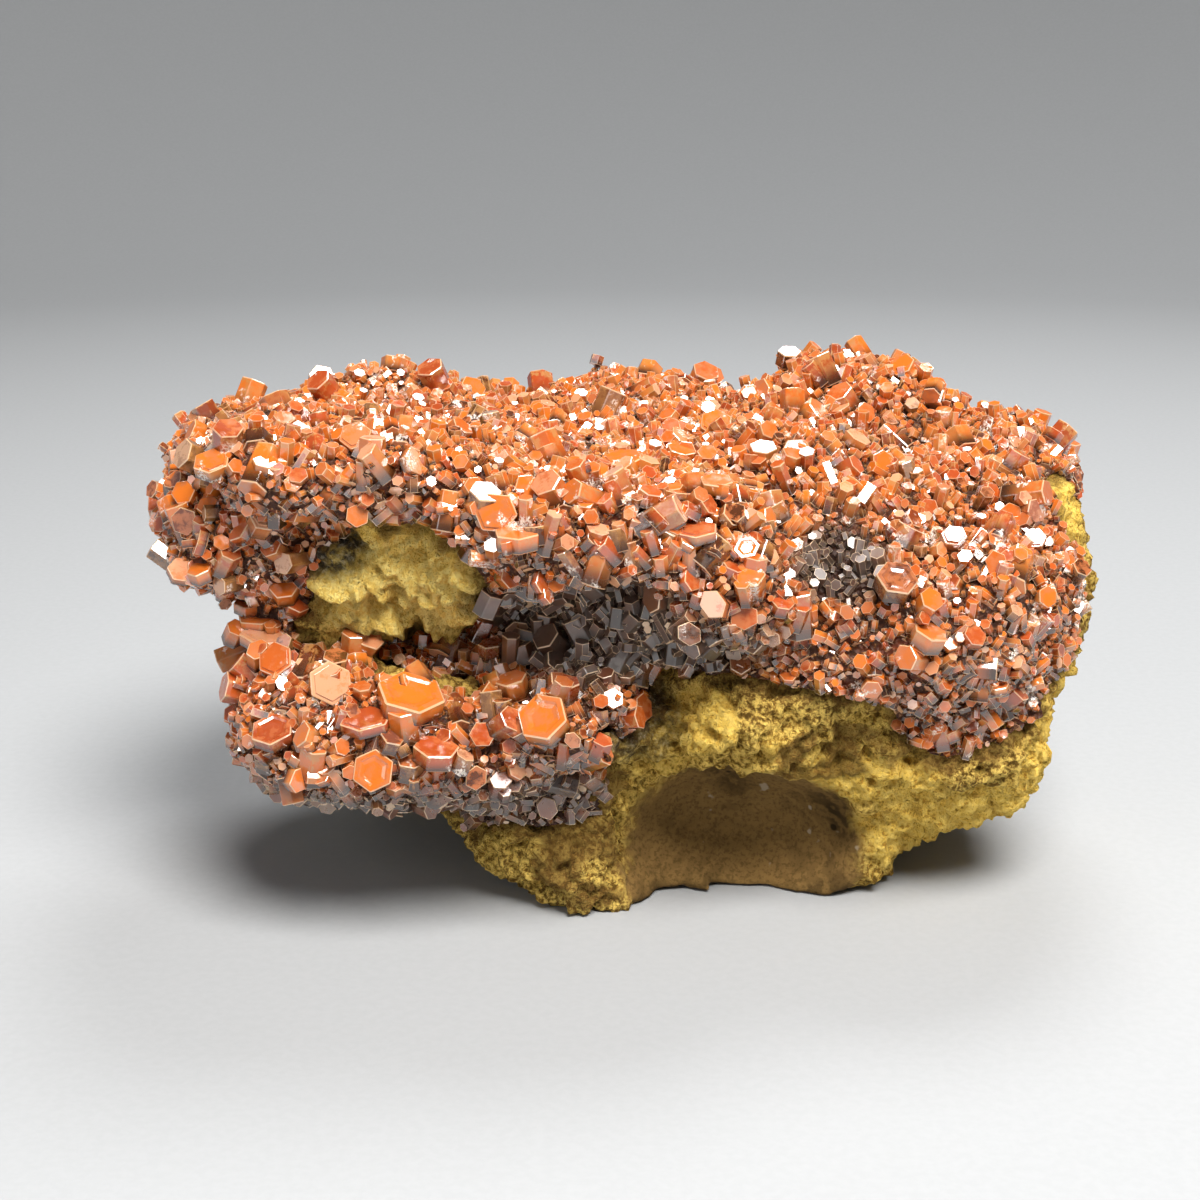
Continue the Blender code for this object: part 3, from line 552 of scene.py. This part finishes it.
def crags(place):
    """How far the coarse crags in the window under the brow stand out, in metres."""
    at = place / MM
    craggy = 3.0 + 5.0 * noise.noise(at / 9) - 4.5 * abs(noise.noise(at / 5 + Vector((0, 7, 0))))
    craggy += 2.4 * noise.noise(at / 2.6) - 2.8 * max(noise.noise(at / 4 + Vector((5, 0, 0))), 0)
    craggy += 1.2 * noise.noise(at / 1.5)
    faded = min(max(1.2 - (at.z - CRAGS_END) / CRAGS_FADE, 0), 1.2)
    return within(WINDOW, place) * faded * craggy * MM


def lining_at(place):
    """1 on the smooth lining of the dish, with a ragged border, and 0 on the granular rock."""
    ragged = 0.16 * noise.noise(place / MM / 4) + 0.08 * noise.noise(place / MM / 1.3)
    return clamped(5 * (1 - level(DISH, place) + ragged))


def stain_and_shade_at(place, crust):
    """1 on the brown rock stained next to the crust and in the patches painted dark as shade, and 0 on
    clean rock.
    """
    near = crust.find_nearest(place)[3] / MM
    ragged = 2.5 * noise.noise(place / MM / 3)
    shade_patch = deepest(SHADE_PATCHES, place) * (1.1 + 1.6 * noise.noise(place / MM / 5))
    return clamped(max(1 - (near + ragged) / STAIN_REACH, shade_patch))


# ---------------- materials


def limonite(settings):
    """Granular rock: bright and powdery in places, olive elsewhere, smooth and banded in the dish, with
    painted light in the window under the brow and painted shade in its pits and dark patches.
    """
    n = Nodes("ochre_limonite")
    grains = n.noise(0.9, 4, 0.65)
    pits = n.noise(2.6, 4, 0.6)
    broad = n.noise(9, 4, 0.6)
    patches = n.noise(24, 3, 0.6)
    ragged = n.math("ADD", n.ramp(broad, 0.3, 0.7, -0.35, 0.35), n.ramp(patches, 0.35, 0.65, -0.3, 0.3))
    powdery = n.ramp(n.math("ADD", n.attribute("powdery"), ragged), 0.1, 0.8)
    rusty = n.mix(n.ramp(patches, 0.55, 0.38, 0, 0.75), settings.olive, settings.brown)
    colour = n.mix(powdery, rusty, settings.ochre)
    # painted light: the window under the brow is paler and brighter, with fewer dark pits
    bleached = n.attribute("bleached")
    tops = n.mix(n.ramp(bleached, 0, 1, 0.35, 1), settings.ochre, settings.pale)
    # paler on the grains' tops and darker in their low spots and pits: partly the rock's own speckle,
    # partly painted light and shade on the grains
    colour = n.mix(n.ramp(grains, 0.43, 0.58, 0, 0.85), colour, tops)
    colour = n.mix(n.times(bleached, 0.3), colour, settings.pale)
    deep = n.mix(powdery, scaled(settings.olive, 0.27), [0.50, 0.25, 0.035])
    depth = n.math("SUBTRACT", 1.0, n.times(bleached, 0.75))
    colour = n.mix(n.times(n.ramp(grains, 0.46, 0.36, 0, 0.85), depth), colour, deep)
    colour = n.mix(n.times(n.ramp(pits, 0.42, 0.34, 0, 0.6), depth), colour, deep)
    # brown rock stained by the crust, and painted shade in dark patches at the foot and beside the lump
    # and the dish
    stain = n.math("ADD", n.attribute("stain"), n.ramp(n.noise(5, 4, 0.6), 0.55, 0.75, 0, 0.35))
    colour = n.mix(n.ramp(stain, 0.35, 0.9, 0, 0.75), colour, settings.brown)
    lining = n.attribute("lining")
    colour = n.mix(lining, colour, dish_lining(n, settings))
    # near-black grey crumbs in the window's dark corner and the crevice: partly grey crust, partly painted
    # shade
    soot = n.times(n.attribute("soot"), n.ramp(n.noise(2, 4, 0.6), 0.35, 0.6, 0.4, 1))
    grey_crumbs_and_shade_colour = n.mix(n.ramp(grains, 0.5, 0.68, 0, 0.7), (0.045, 0.036, 0.025), (0.42, 0.36, 0.26))
    colour = n.mix(soot, colour, grey_crumbs_and_shade_colour)
    n.surface("Base Color", colour)
    n.surface("Roughness", 0.92)
    n.surface("Specular IOR Level", 0.12)
    strength = n.math("SUBTRACT", 1.0, n.times(lining, 0.85))
    normal = n.bump(pits, strength, 2.2)
    normal = n.bump(grains, strength, 1.3, normal)
    normal = n.bump(n.noise(0.35, 3, 0.7), n.times(strength, 0.8), 0.35, normal)
    n.surface("Normal", normal)
    return n.material


def dish_lining(n, settings):
    """Colour of the dish: brown bands that curve around its foot, with dark spots, all kept dark partly as
    painted shade in the hollow.
    """
    middle = {"Vector": n.place, "Location": (-0.019, 0, 0.004)}
    centred = n.add("ShaderNodeMapping", middle).outputs["Vector"]
    bands = n.add(
        "ShaderNodeTexWave",
        {
            "Vector": centred, "Scale": 95, "Distortion": 14.0, "Detail": 4.0, "Detail Scale": 1.1,
            "Detail Roughness": 0.65,
        },
        wave_type="RINGS", rings_direction="Y",
    ).outputs["Fac"]
    broad = n.ramp(n.noise(16, 3, 0.5), 0.36, 0.64)
    colour = n.mix(broad, scaled(settings.dish, 0.35), scaled(settings.dish, 2.0))
    colour = n.mix(n.ramp(bands, 0.3, 0.95, 0, 0.4), colour, scaled(settings.dish, 2.6))
    speckles = n.ramp(n.noise(0.7, 4, 0.7), 0.47, 0.62, 0, 0.45)
    colour = n.mix(speckles, colour, scaled(settings.dish, 0.4))
    scars = n.ramp(n.noise(3.1, 2, 0.5), 0.68, 0.74, 0, 0.5)
    colour = n.mix(scars, colour, (0.45, 0.38, 0.28))
    return n.mix(n.ramp(n.cells(6.5), 0.13, 0.08, 0, 0.9), colour, scaled(settings.dish, 0.15))


def bed_material(settings):
    """What shows between the crystals: a bed of intergrown crystal roots, dark brown partly as painted
    shade in the gaps.
    """
    n = Nodes("crystal_roots")
    roots = n.cells(0.8)
    grains = n.noise(0.7, 4, 0.65)
    colour = n.mix(n.ramp(n.noise(2.5, 4, 0.6), 0.35, 0.65), scaled(settings.dark, 0.5), settings.dark)
    colour = n.mix(n.ramp(n.noise(3.4, 3, 0.5), 0.48, 0.7, 0, 0.6), colour, scaled(settings.red, 0.5))
    colour = n.mix(n.ramp(grains, 0.56, 0.68, 0, 0.8), colour, settings.tan)
    # painted shade: the bed turns near black in the hollows
    colour = n.mix(n.times(n.attribute("shade"), 0.9), colour, scaled(settings.dark, 0.3))
    n.surface("Base Color", colour)
    n.surface("Roughness", 0.45)
    normal = n.bump(roots, 0.9, 0.9)
    n.surface("Normal", n.bump(grains, 0.8, 0.6, normal))
    return n.material


def crystal_material(settings):
    """Resinous crystals: orange inside, tan and rosy where they are frosted, with painted highlights along
    their fine edges and painted shade at their roots and in the hollows.
    """
    n = Nodes("resinous_crystal")
    facet = n.add("ShaderNodeSeparateXYZ", {"Vector": n.attribute("facet", "Vector")}).outputs
    across, along, on_end = facet[0], facet[1], facet[2]
    tone, kind, shade = n.attribute("tone"), n.attribute("kind"), n.attribute("shade")
    border = n.math("MAXIMUM", n.math("ABSOLUTE", across), n.math("ABSOLUTE", along))
    body = n.mix(n.ramp(tone, 0.05, 0.4), settings.dark, settings.red)
    body = n.mix(n.ramp(tone, 0.35, 0.8), body, settings.orange)
    skin = n.mix(on_end, settings.tan, settings.rose)
    skin = n.mix(n.times(n.ramp(kind, 0.75, 0.95, 0, 0.5), on_end), skin, settings.edge)
    cloud = n.ramp(n.noise(1.9, 5, 0.7), 0.38, 0.62, -0.4, 0.4)
    frost = n.ramp(n.math("ADD", kind, cloud), 0.15, 0.95, 0.0, 0.75)
    frost = n.times(frost, n.ramp(on_end, 0, 1, 0.6, 1))
    rim = n.ramp(n.math("ADD", border, cloud), 0.62, 1.05, 0, 0.75)
    colour = n.mix(n.math("MAXIMUM", frost, rim), body, skin)
    side = n.math("SUBTRACT", 1.0, on_end)
    # painted shade: each prism side darkens towards its root, in the gaps between the crystals
    root = n.times(n.ramp(along, -0.9, 0.5, 0.97, 0.0), side)
    colour = n.mix(root, colour, scaled(settings.dark, 0.4))
    # painted shade: the crystals in the hollows turn near black
    colour = n.mix(n.times(shade, 0.93), colour, (0.034, 0.016, 0.006))
    dusted = n.ramp(n.noise(4.5, 3, 0.6), 0.60, 0.68)
    sugar = n.times(dusted, n.ramp(n.noise(0.4, 2, 0.6), 0.40, 0.60))
    colour = n.mix(n.times(sugar, n.math("SUBTRACT", 0.85, shade)), colour, (0.90, 0.80, 0.70))
    # painted highlight: pale lines along the crystals' edges, stronger in the hollows
    edges = n.times(n.ramp(border, 0.91, 0.98, 0, 1), n.ramp(shade, 0, 1, 0.5, 0.75))
    colour = n.mix(edges, colour, settings.edge)
    n.surface("Base Color", colour)
    glaze = n.ramp(n.noise(1.2, 3, 0.6), 0.35, 0.65, 0.04, 0.20)
    dull = n.times(n.math("MAXIMUM", sugar, shade), 0.3)
    n.surface("Roughness", n.math("ADD", glaze, dull))
    n.surface("IOR", 2.3)
    n.surface("Subsurface Weight", 0.05)
    n.surface("Subsurface Radius", (1.0, 0.25, 0.05))
    n.surface("Subsurface Scale", 0.0006)
    normal = n.bump(n.noise(1.5, 3, 0.5), 0.18, 0.12)
    normal = n.bump(n.noise(0.35, 3, 0.6), 0.10, 0.1, normal)
    n.surface("Normal", n.bump(n.noise(0.25, 2, 0.6), sugar, 0.3, normal))
    return n.material


def material_of(name, make, settings):
    """The material of that name, made on first use."""
    return bpy.data.materials.get(name) or make(settings)


# ---------------- crystals


class Shape:
    """One form of crystal: 1 across corners, with its facets' own coordinates at each corner."""

    def __init__(self, length, chamfer=0.0, form=PLAIN):
        bm = bmesh.new()
        bmesh.ops.create_cone(bm, cap_ends=True, segments=6, radius1=0.5, radius2=0.5, depth=length)
        if chamfer:
            bmesh.ops.bevel(
                bm, geom=bm.edges[:], offset=chamfer, offset_type="OFFSET",
                affect="EDGES", segments=1, profile=0.5, material=-1,
            )
        ends = [face for face in bm.faces if face.normal.z > 0.99]
        if form == HOPPER:
            bmesh.ops.inset_individual(bm, faces=ends, thickness=0.10, depth=0)
            bmesh.ops.inset_individual(bm, faces=ends, thickness=0.05, depth=-0.035)
            bmesh.ops.inset_individual(bm, faces=ends, thickness=0.09, depth=-0.02)
        elif form == STEPPED:
            bmesh.ops.inset_individual(bm, faces=ends, thickness=0.07, depth=0)
            bmesh.ops.inset_individual(bm, faces=ends, thickness=0.01, depth=0.04)
        bmesh.ops.poke(bm, faces=ends)
        bmesh.ops.triangulate(bm, faces=bm.faces)
        put_in_order(bm)
        bm.normal_update()
        corners = [loop for face in bm.faces for loop in corners_of(face)]
        self.verts = np.array([vert.co for vert in bm.verts])
        self.faces = np.array([loop.vert.index for loop in corners]).reshape(-1, 3)
        self.facet = np.array([facet_place(loop.face, loop.vert.co, length) for loop in corners])
        bm.free()


def put_in_order(bm):
    """Sorts vertices and faces by place, because a bevel leaves them in another order each time."""
    skew = Vector((0.613, 1.127, 1.931))
    bm.verts.sort(key=lambda vert: vert.co.dot(skew))
    bm.faces.sort(key=lambda face: face.calc_center_median().dot(skew))
    bm.verts.index_update()


def corners_of(face):
    """A face's corners in turn, from the first of its vertices on."""
    loops = list(face.loops)
    start = min(range(len(loops)), key=lambda index: loops[index].vert.index)
    return loops[start:] + loops[:start]


def facet_place(face, co, length):
    """Where a corner lies on its face: across, along, and 1 on an end face. Edges lie at 1."""
    normal = face.normal
    inner = hexagon_reach(face.calc_center_median()) < 0.86
    if abs(normal.z) > 0.9 or inner:
        return hexagon_reach(co), 0, 1
    if abs(normal.z) > 0.05:
        return 1, 1, 0
    turn = math.atan2(normal.y, normal.x)
    sideways = -co.x * math.sin(turn) + co.y * math.cos(turn)
    return sideways / 0.25, co.z / (length / 2), 0


def hexagon_reach(co):
    """0 at a prism's axis and 1 at its side faces."""
    apothem = 0.5 * math.cos(math.pi / 6)
    turns = [math.pi / 6 + side * math.pi / 3 for side in range(6)]
    return max(co.x * math.sin(turn) + co.y * math.cos(turn) for turn in turns) / apothem


class Cluster:
    """Collects placed crystals and joins them in one mesh."""

    def __init__(self, rng):
        self.rng = rng
        self.placed = {}

    def put(self, shape, point, axis, across, tone, stretch=1.0):
        """Adds a crystal turned and squeezed by chance, with its middle at a point."""
        rng = self.rng
        uneven = UNEVEN if across < LARGE_ACROSS * MM else UNEVEN_LARGE
        squeeze = rng.uniform(1 - uneven, 1 + uneven)
        turn = Matrix.Rotation(rng.uniform(0, math.pi / 3), 3, "Z")
        rotation = axis.to_track_quat("Z", "Y").to_matrix() @ turn
        matrix = rotation @ Matrix.Diagonal((across * squeeze, across / squeeze, across * stretch))
        looks = (tone, rng.random(), shade_at(point))
        self.placed.setdefault(shape, []).append((np.array(matrix), np.array(point), looks))

    def built(self, name, settings):
        """Makes the cluster a piece of its own, with its material."""
        piece = linked(name, self.joined(name))
        finished(piece, material_of("resinous_crystal", crystal_material, settings), "vanadinite")

    def joined(self, name):
        """All the placed crystals as one mesh."""
        verts, faces, facets, looks = [], [], [], []
        start = 0
        for shape, placed in self.placed.items():
            matrices = np.array([entry[0] for entry in placed])
            points = np.array([entry[1] for entry in placed])
            turned = np.einsum("kij,nj->kni", matrices, shape.verts)
            verts.append((turned + points[:, None]).reshape(-1, 3))
            steps = start + np.arange(len(placed))[:, None, None] * len(shape.verts)
            faces.append((shape.faces[None] + steps).reshape(-1, 3))
            facets.append(np.tile(shape.facet, (len(placed), 1)))
            looks.append(np.repeat([entry[2] for entry in placed], len(shape.verts), axis=0))
            start += len(placed) * len(shape.verts)
        verts, faces, looks = np.concatenate(verts), np.concatenate(faces), np.concatenate(looks)
        mesh = bpy.data.meshes.new(name)
        mesh.vertices.add(len(verts))
        mesh.vertices.foreach_set("co", verts.astype(np.float32).ravel())
        mesh.loops.add(faces.size)
        mesh.loops.foreach_set("vertex_index", faces.astype(np.int32).ravel())
        mesh.polygons.add(len(faces))
        mesh.polygons.foreach_set("loop_start", np.arange(0, faces.size, 3, dtype=np.int32))
        mesh.update(calc_edges=True)
        mesh.shade_flat()
        facet = mesh.attributes.new("facet", "FLOAT_VECTOR", "CORNER")
        facet.data.foreach_set("vector", np.concatenate(facets).astype(np.float32).ravel())
        for column, attribute in enumerate(("tone", "kind", "shade")):
            vertex_attribute(mesh, attribute, looks[:, column])
        return mesh


def shade_at(point):
    """1 deep in the hollows, where shade is painted on the crystals and the bed, and 0 in the open."""
    return max(depth * within(zone, point) for zone, depth in SHADED)


def large_crystals():
    """The large crystals as middle point, axis, width, length, tone and form, seated on the bed."""
    bed = tree_of(bpy.data.objects["crystal_bed"].data)
    seated = []
    for place, across, length, axis, tone, *form in LARGE_CRYSTALS:
        seat, _, _, distance = bed.find_nearest(Vector(place) * MM)
        if distance > FARTHEST_SEAT * MM:
            raise RuntimeError(f"No crystal bed near {place}")
        axis = Vector(axis).normalized()
        middle = seat + axis * (0.2 * length + 0.4) * MM
        seated.append((middle, axis, across * MM, length * MM, tone, form[0] if form else PLAIN))
    return seated


def clear_of_large(seated):
    """Tells whether a point lies outside all the large crystals."""
    tree = KDTree(len(seated))
    for index, (middle, *_) in enumerate(seated):
        tree.insert(middle, index)
    tree.balance()

    def clear(point):
        for _, index, _ in tree.find_range(point, 6 * MM):
            middle, axis, across, length, _, _ = seated[index]
            offset = point - middle
            along = offset.dot(axis)
            if abs(along) < length / 2 + 1.2 * MM and (offset - along * axis).length < 0.42 * across:
                return False
        return True

    return clear


def seats_on(bed, rng, spacing, wanted):
    """Points and normals spread over the crystal bed's outer side, at least a spacing apart."""
    mesh = bed.data
    rock = node_tree("matrix")
    gap = BARE_BORDER * MM
    outer = [i for i, face in enumerate(mesh.polygons) if rock.find_nearest(face.center)[3] > gap]
    areas = np.array([mesh.polygons[i].area for i in outer])
    tries = int(TRIES * areas.sum() / spacing**2)
    picks = rng.choices(outer, areas.tolist(), k=tries)
    cells, seats = {}, []
    for pick in picks:
        face = mesh.polygons[pick]
        shares = [rng.random() for _ in face.vertices]
        total = sum(shares)
        corners = (mesh.vertices[i].co * share for i, share in zip(face.vertices, shares))
        point = sum(corners, Vector()) / total
        if not wanted(point, face.normal):
            continue
        cell = tuple(int(c // spacing) for c in point)
        near = (
            other
            for dx in (-1, 0, 1) for dy in (-1, 0, 1) for dz in (-1, 0, 1)
            for other in cells.get((cell[0] + dx, cell[1] + dy, cell[2] + dz), ())
        )
        if all((point - other).length_squared > spacing**2 for other in near):
            cells.setdefault(cell, []).append(point)
            seats.append((point, face.normal.copy()))
    return seats


def any_way(rng):
    """A direction by chance, every one as likely."""
    height = rng.uniform(-1, 1)
    turn = rng.uniform(0, 2 * math.pi)
    reach = math.sqrt(1 - height * height)
    return Vector((reach * math.cos(turn), reach * math.sin(turn), height))


def grown_axis(rng, normal):
    """The way a crystal grew: outward, rather upward, and never the same twice."""
    return (0.15 * normal + 0.85 * Vector((0, 0, 1)) + 0.9 * any_way(rng)).normalized()


def leaning(rng, axis, lean):
    """A direction that leans away from an axis by chance."""
    return (axis + lean * any_way(rng)).normalized()


def beside(rng, axis, near, far):
    """A step away from an axis to any side, by a length between near and far."""
    return axis.cross(any_way(rng)).normalized() * rng.uniform(near, far)


# ---------------- operators


class SPECIMEN_OT_rock(bpy.types.Operator):
    """Builds the limonite rock from its CAD form, with its grain"""

    bl_idname = "specimen.rock"
    bl_label = "Limonite rock"

    def execute(self, context):
        settings = context.scene.specimen_rock
        crust = node_tree("crystal_crust")
        rock = merged_copy("matrix", "limonite_rock")
        applied(rock, "SUBSURF", levels=2, render_levels=2)
        applied(rock, "REMESH", mode="VOXEL", voxel_size=settings.voxel)
        displaced(rock, lambda place: crags(place) + grain(place, settings.grain_height))
        for vert in rock.data.vertices:
            vert.co.z = max(vert.co.z, 0)
        applied(rock, "DECIMATE", ratio=settings.kept)
        mesh = rock.data
        looks = {
            # stained by the crust, and painted shade in dark patches
            "stain": lambda place: stain_and_shade_at(place, crust),
            "lining": lining_at,
            # grey crumbs, partly painted shade in the dark corner and the crevice
            "soot": lambda place: max(within(DARK_CORNER, place), 0.8 * within(CREVICE, place)),
            # painted light in the window under the brow
            "bleached": lambda place: within(WINDOW, place),
            "powdery": lambda place: deepest(POWDERY, place),
        }
        for name, look in looks.items():
            vertex_attribute(mesh, name, [look(vert.co) for vert in mesh.vertices])
        mesh.shade_smooth()
        finished(rock, material_of("ochre_limonite", limonite, settings), "limonite", "matrix")
        return {"FINISHED"}


class SPECIMEN_OT_bed(bpy.types.Operator):
    """Builds the bed that the crystals grow from, from the CAD crust with its crystals smoothed away"""

    bl_idname = "specimen.bed"
    bl_label = "Crystal bed"

    def execute(self, context):
        settings = context.scene.specimen_crystals
        bed = merged_copy("crystal_crust", "crystal_bed")
        applied(bed, "REMESH", mode="VOXEL", voxel_size=BED_GRAIN * MM)
        applied(bed, "SMOOTH", factor=0.5, iterations=BED_ROUNDS)
        rock = node_tree("matrix")

        def settle(place):
            if rock.find_nearest(place)[3] <= BED_HELD * MM:
                return 0
            uneven = 0.6 * noise.noise(place / MM / 3)
            return MM * (uneven - BED_DEPTH - NOOK_DEPTH * within(NOOK, place))

        displaced(bed, settle)
        # painted shade for the bed in the hollows
        vertex_attribute(bed.data, "shade", [shade_at(vert.co) for vert in bed.data.vertices])
        finished(bed, material_of("crystal_roots", bed_material, settings), "vanadinite", "crystal_crust")
        return {"FINISHED"}


class SPECIMEN_OT_fine_druse(bpy.types.Operator):
    """Covers the bed with fine crystals"""

    bl_idname = "specimen.fine_druse"
    bl_label = "Fine druse"

    def execute(self, context):
        settings = context.scene.specimen_crystals
        rng = random.Random(settings.seed)
        shapes = [Shape(length) for length in FINE_LENGTHS]
        bed = bpy.data.objects["crystal_bed"]
        clear = clear_of_large(large_crystals())
        clusters = {name: Cluster(rng) for name in ("druse_left", "druse_right", "druse_front")}

        def wanted(point, normal):
            return clear(point) and level(NOOK, point) > 0.7

        for point, normal in seats_on(bed, rng, settings.fine_spacing, wanted):
            across = settings.fine_across * min(rng.lognormvariate(0, 0.33), 1.9)
            axis = grown_axis(rng, normal)
            tone = clamped(rng.gauss(0.58, 0.26))
            if normal.z < 0.45:
                part = "druse_front"
            else:
                part = "druse_left" if point.x < 0 else "druse_right"
            clusters[part].put(rng.choice(shapes), point + 0.4 * across * axis, axis, across, tone)
        for name, cluster in clusters.items():
            cluster.built(name, settings)
        return {"FINISHED"}


class SPECIMEN_OT_medium_crystals(bpy.types.Operator):
    """Adds the medium crystals where the crust grew coarser"""

    bl_idname = "specimen.medium_crystals"
    bl_label = "Medium crystals"

    def execute(self, context):
        settings = context.scene.specimen_crystals
        rng = random.Random(settings.seed + 1)
        shapes = [Shape(length, CHAMFER) for length in MEDIUM_LENGTHS]
        bed = bpy.data.objects["crystal_bed"]
        clear = clear_of_large(large_crystals())
        cluster = Cluster(rng)

        def wanted(point, normal):
            here = deepest((BROW, LEFT_END, SHELF, RECESS), point)
            return rng.random() < 0.05 + 0.95 * here and clear(point) and level(NOOK, point) > 1.2

        for point, normal in seats_on(bed, rng, settings.medium_spacing, wanted):
            across = settings.medium_across * min(max(rng.lognormvariate(0, 0.28), 0.6), 1.5)
            axis = grown_axis(rng, normal)
            tone = clamped(rng.gauss(0.52 - 0.14 * within(SHELF, point), 0.3))
            middle = point + 0.35 * across * axis
            cluster.put(rng.choice(shapes), middle, axis, across, tone)
            for _ in range(rng.choice(SIBLINGS)):
                size = across * rng.uniform(0.45, 0.85)
                lean = leaning(rng, axis, 0.35)
                place = middle + beside(rng, axis, 0.35, 0.65) * across
                cluster.put(rng.choice(shapes), place, lean, size, clamped(tone + rng.gauss(0, 0.1)))
        cluster.built("medium_crystals", settings)
        return {"FINISHED"}


class SPECIMEN_OT_large_crystals(bpy.types.Operator):
    """Seats the large crystals in their places"""

    bl_idname = "specimen.large_crystals"
    bl_label = "Large crystals"

    def execute(self, context):
        settings = context.scene.specimen_crystals
        rng = random.Random(settings.seed + 2)
        cluster = Cluster(rng)
        plates = {form: Shape(PLATE_LENGTH, PLATE_CHAMFER, form) for form in (PLAIN, HOPPER, STEPPED)}
        prism = Shape(PRISM_LENGTH, CHAMFER)
        for middle, axis, across, length, tone, form in large_crystals():
            flat = form != PLAIN or length < 0.8 * across
            shape, own_length = (plates[form], PLATE_LENGTH) if flat else (prism, PRISM_LENGTH)
            cluster.put(shape, middle, axis, across, tone, length / across / own_length)
            for _ in range(rng.choice(BESIDE_HOPPER if form == HOPPER else BESIDE_LARGE)):
                size = across * rng.uniform(0.25, 0.6)
                lean = leaning(rng, axis, 0.5)
                place = middle + beside(rng, axis, 0.42, 0.6) * across
                place += axis * rng.uniform(-0.5, 0.0 if flat else 0.2) * length
                cluster.put(prism, place, lean, size, clamped(tone + rng.gauss(-0.1, 0.15)), 0.7)
        cluster.built("large_crystals", settings)
        return {"FINISHED"}


class SPECIMEN_OT_stage(bpy.types.Operator):
    """Sets the floor, the lights and the camera"""

    bl_idname = "specimen.stage"
    bl_label = "Studio"

    def execute(self, context):
        settings = context.scene.specimen_stage
        bm = bmesh.new()
        line = [bm.verts.new((0, 0, 0)), bm.verts.new((FLOOR_REACH, 0, 0))]
        bm.edges.new(line)
        bmesh.ops.spin(
            bm, geom=[line[1]], cent=(FLOOR_REACH, 0, FLOOR_BEND), axis=(0, -1, 0), angle=math.pi / 2,
            steps=12,
        )
        bmesh.ops.spin(
            bm, geom=bm.verts[:] + bm.edges[:], cent=(0, 0, 0), axis=(0, 0, 1), angle=2 * math.pi, steps=64
        )
        bmesh.ops.remove_doubles(bm, verts=bm.verts, dist=0.0001)
        bmesh.ops.recalc_face_normals(bm, faces=bm.faces)
        mesh = bpy.data.meshes.new("floor")
        bm.to_mesh(mesh)
        bm.free()
        mesh.shade_smooth()
        floor = linked("floor", mesh)
        paper = Nodes("floor")
        fibre = paper.ramp(paper.noise(1.5, 4, 0.6), 0.3, 0.7)
        mottled = paper.mix(fibre, settings.floor, scaled(settings.floor, 0.96))
        paper.surface("Base Color", mottled)
        paper.surface("Roughness", 0.85)
        floor.data.materials.append(paper.material)

        for name, place, size, tint in LAMPS:
            lamp(name, place, size, getattr(settings, name + "_power"), tint)

        world = bpy.data.worlds.new("studio")
        world.use_nodes = True
        sky = world.node_tree.nodes["Background"]
        sky.inputs["Color"].default_value = SKY_COLOUR
        sky.inputs["Strength"].default_value = settings.sky
        context.scene.world = world

        lens = bpy.data.cameras.new("camera")
        lens.lens = SENSOR_WIDTH / 2 / math.tan(math.radians(HALF_VIEW))
        lens.sensor_width = SENSOR_WIDTH
        lens.clip_start = 0.01
        camera = linked("camera", lens)
        camera.location = CAMERA_PLACE
        camera.rotation_euler = (math.radians(CAMERA_TILT), 0, 0)
        context.scene.camera = camera
        context.scene.view_settings.view_transform = "Standard"
        return {"FINISHED"}


def lamp(name, place, size, power, colour):
    """A round lamp, aimed at the middle of the specimen."""
    light = bpy.data.lights.new(name, "AREA")
    light.shape = "DISK"
    light.size = size
    light.energy = power
    light.color = colour
    made = linked(name, light)
    made.location = place
    aim = LAMPS_AIM - Vector(place)
    made.rotation_euler = aim.to_track_quat("-Z", "Y").to_euler()


# ---------------- panel and registration


class SPECIMEN_PT_panel(bpy.types.Panel):
    """Lists what can be built and its settings"""

    bl_idname = "SPECIMEN_PT_panel"
    bl_label = "Vanadinite on matrix"
    bl_space_type = "VIEW_3D"
    bl_region_type = "UI"
    bl_category = "Vanadinite"

    def draw(self, context):
        groups = (
            (context.scene.specimen_rock, OPERATORS[:1]),
            (context.scene.specimen_crystals, OPERATORS[1:-1]),
            (context.scene.specimen_stage, OPERATORS[-1:]),
        )
        for settings, operators in groups:
            box = self.layout.box()
            for name in settings.__annotations__:
                box.prop(settings, name)
            for operator in operators:
                box.operator(operator.bl_idname)


OPERATORS = (
    SPECIMEN_OT_rock,
    SPECIMEN_OT_bed,
    SPECIMEN_OT_fine_druse,
    SPECIMEN_OT_medium_crystals,
    SPECIMEN_OT_large_crystals,
    SPECIMEN_OT_stage,
)
CLASSES = (RockSettings, CrystalSettings, StageSettings, *OPERATORS, SPECIMEN_PT_panel)


def register():
    """Makes the settings, the operators and the panel known to the program."""
    for cls in CLASSES:
        bpy.utils.register_class(cls)
    bpy.types.Scene.specimen_rock = PointerProperty(type=RockSettings)
    bpy.types.Scene.specimen_crystals = PointerProperty(type=CrystalSettings)
    bpy.types.Scene.specimen_stage = PointerProperty(type=StageSettings)


def unregister():
    del bpy.types.Scene.specimen_stage
    del bpy.types.Scene.specimen_crystals
    del bpy.types.Scene.specimen_rock
    for cls in reversed(CLASSES):
        bpy.utils.unregister_class(cls)


def main():
    """Builds the specimen and the studio."""
    register()
    bpy.ops.specimen.rock()
    bpy.ops.specimen.bed()
    bpy.ops.specimen.fine_druse()
    bpy.ops.specimen.medium_crystals()
    bpy.ops.specimen.large_crystals()
    bpy.ops.specimen.stage()


if __name__ == "__main__":
    main()
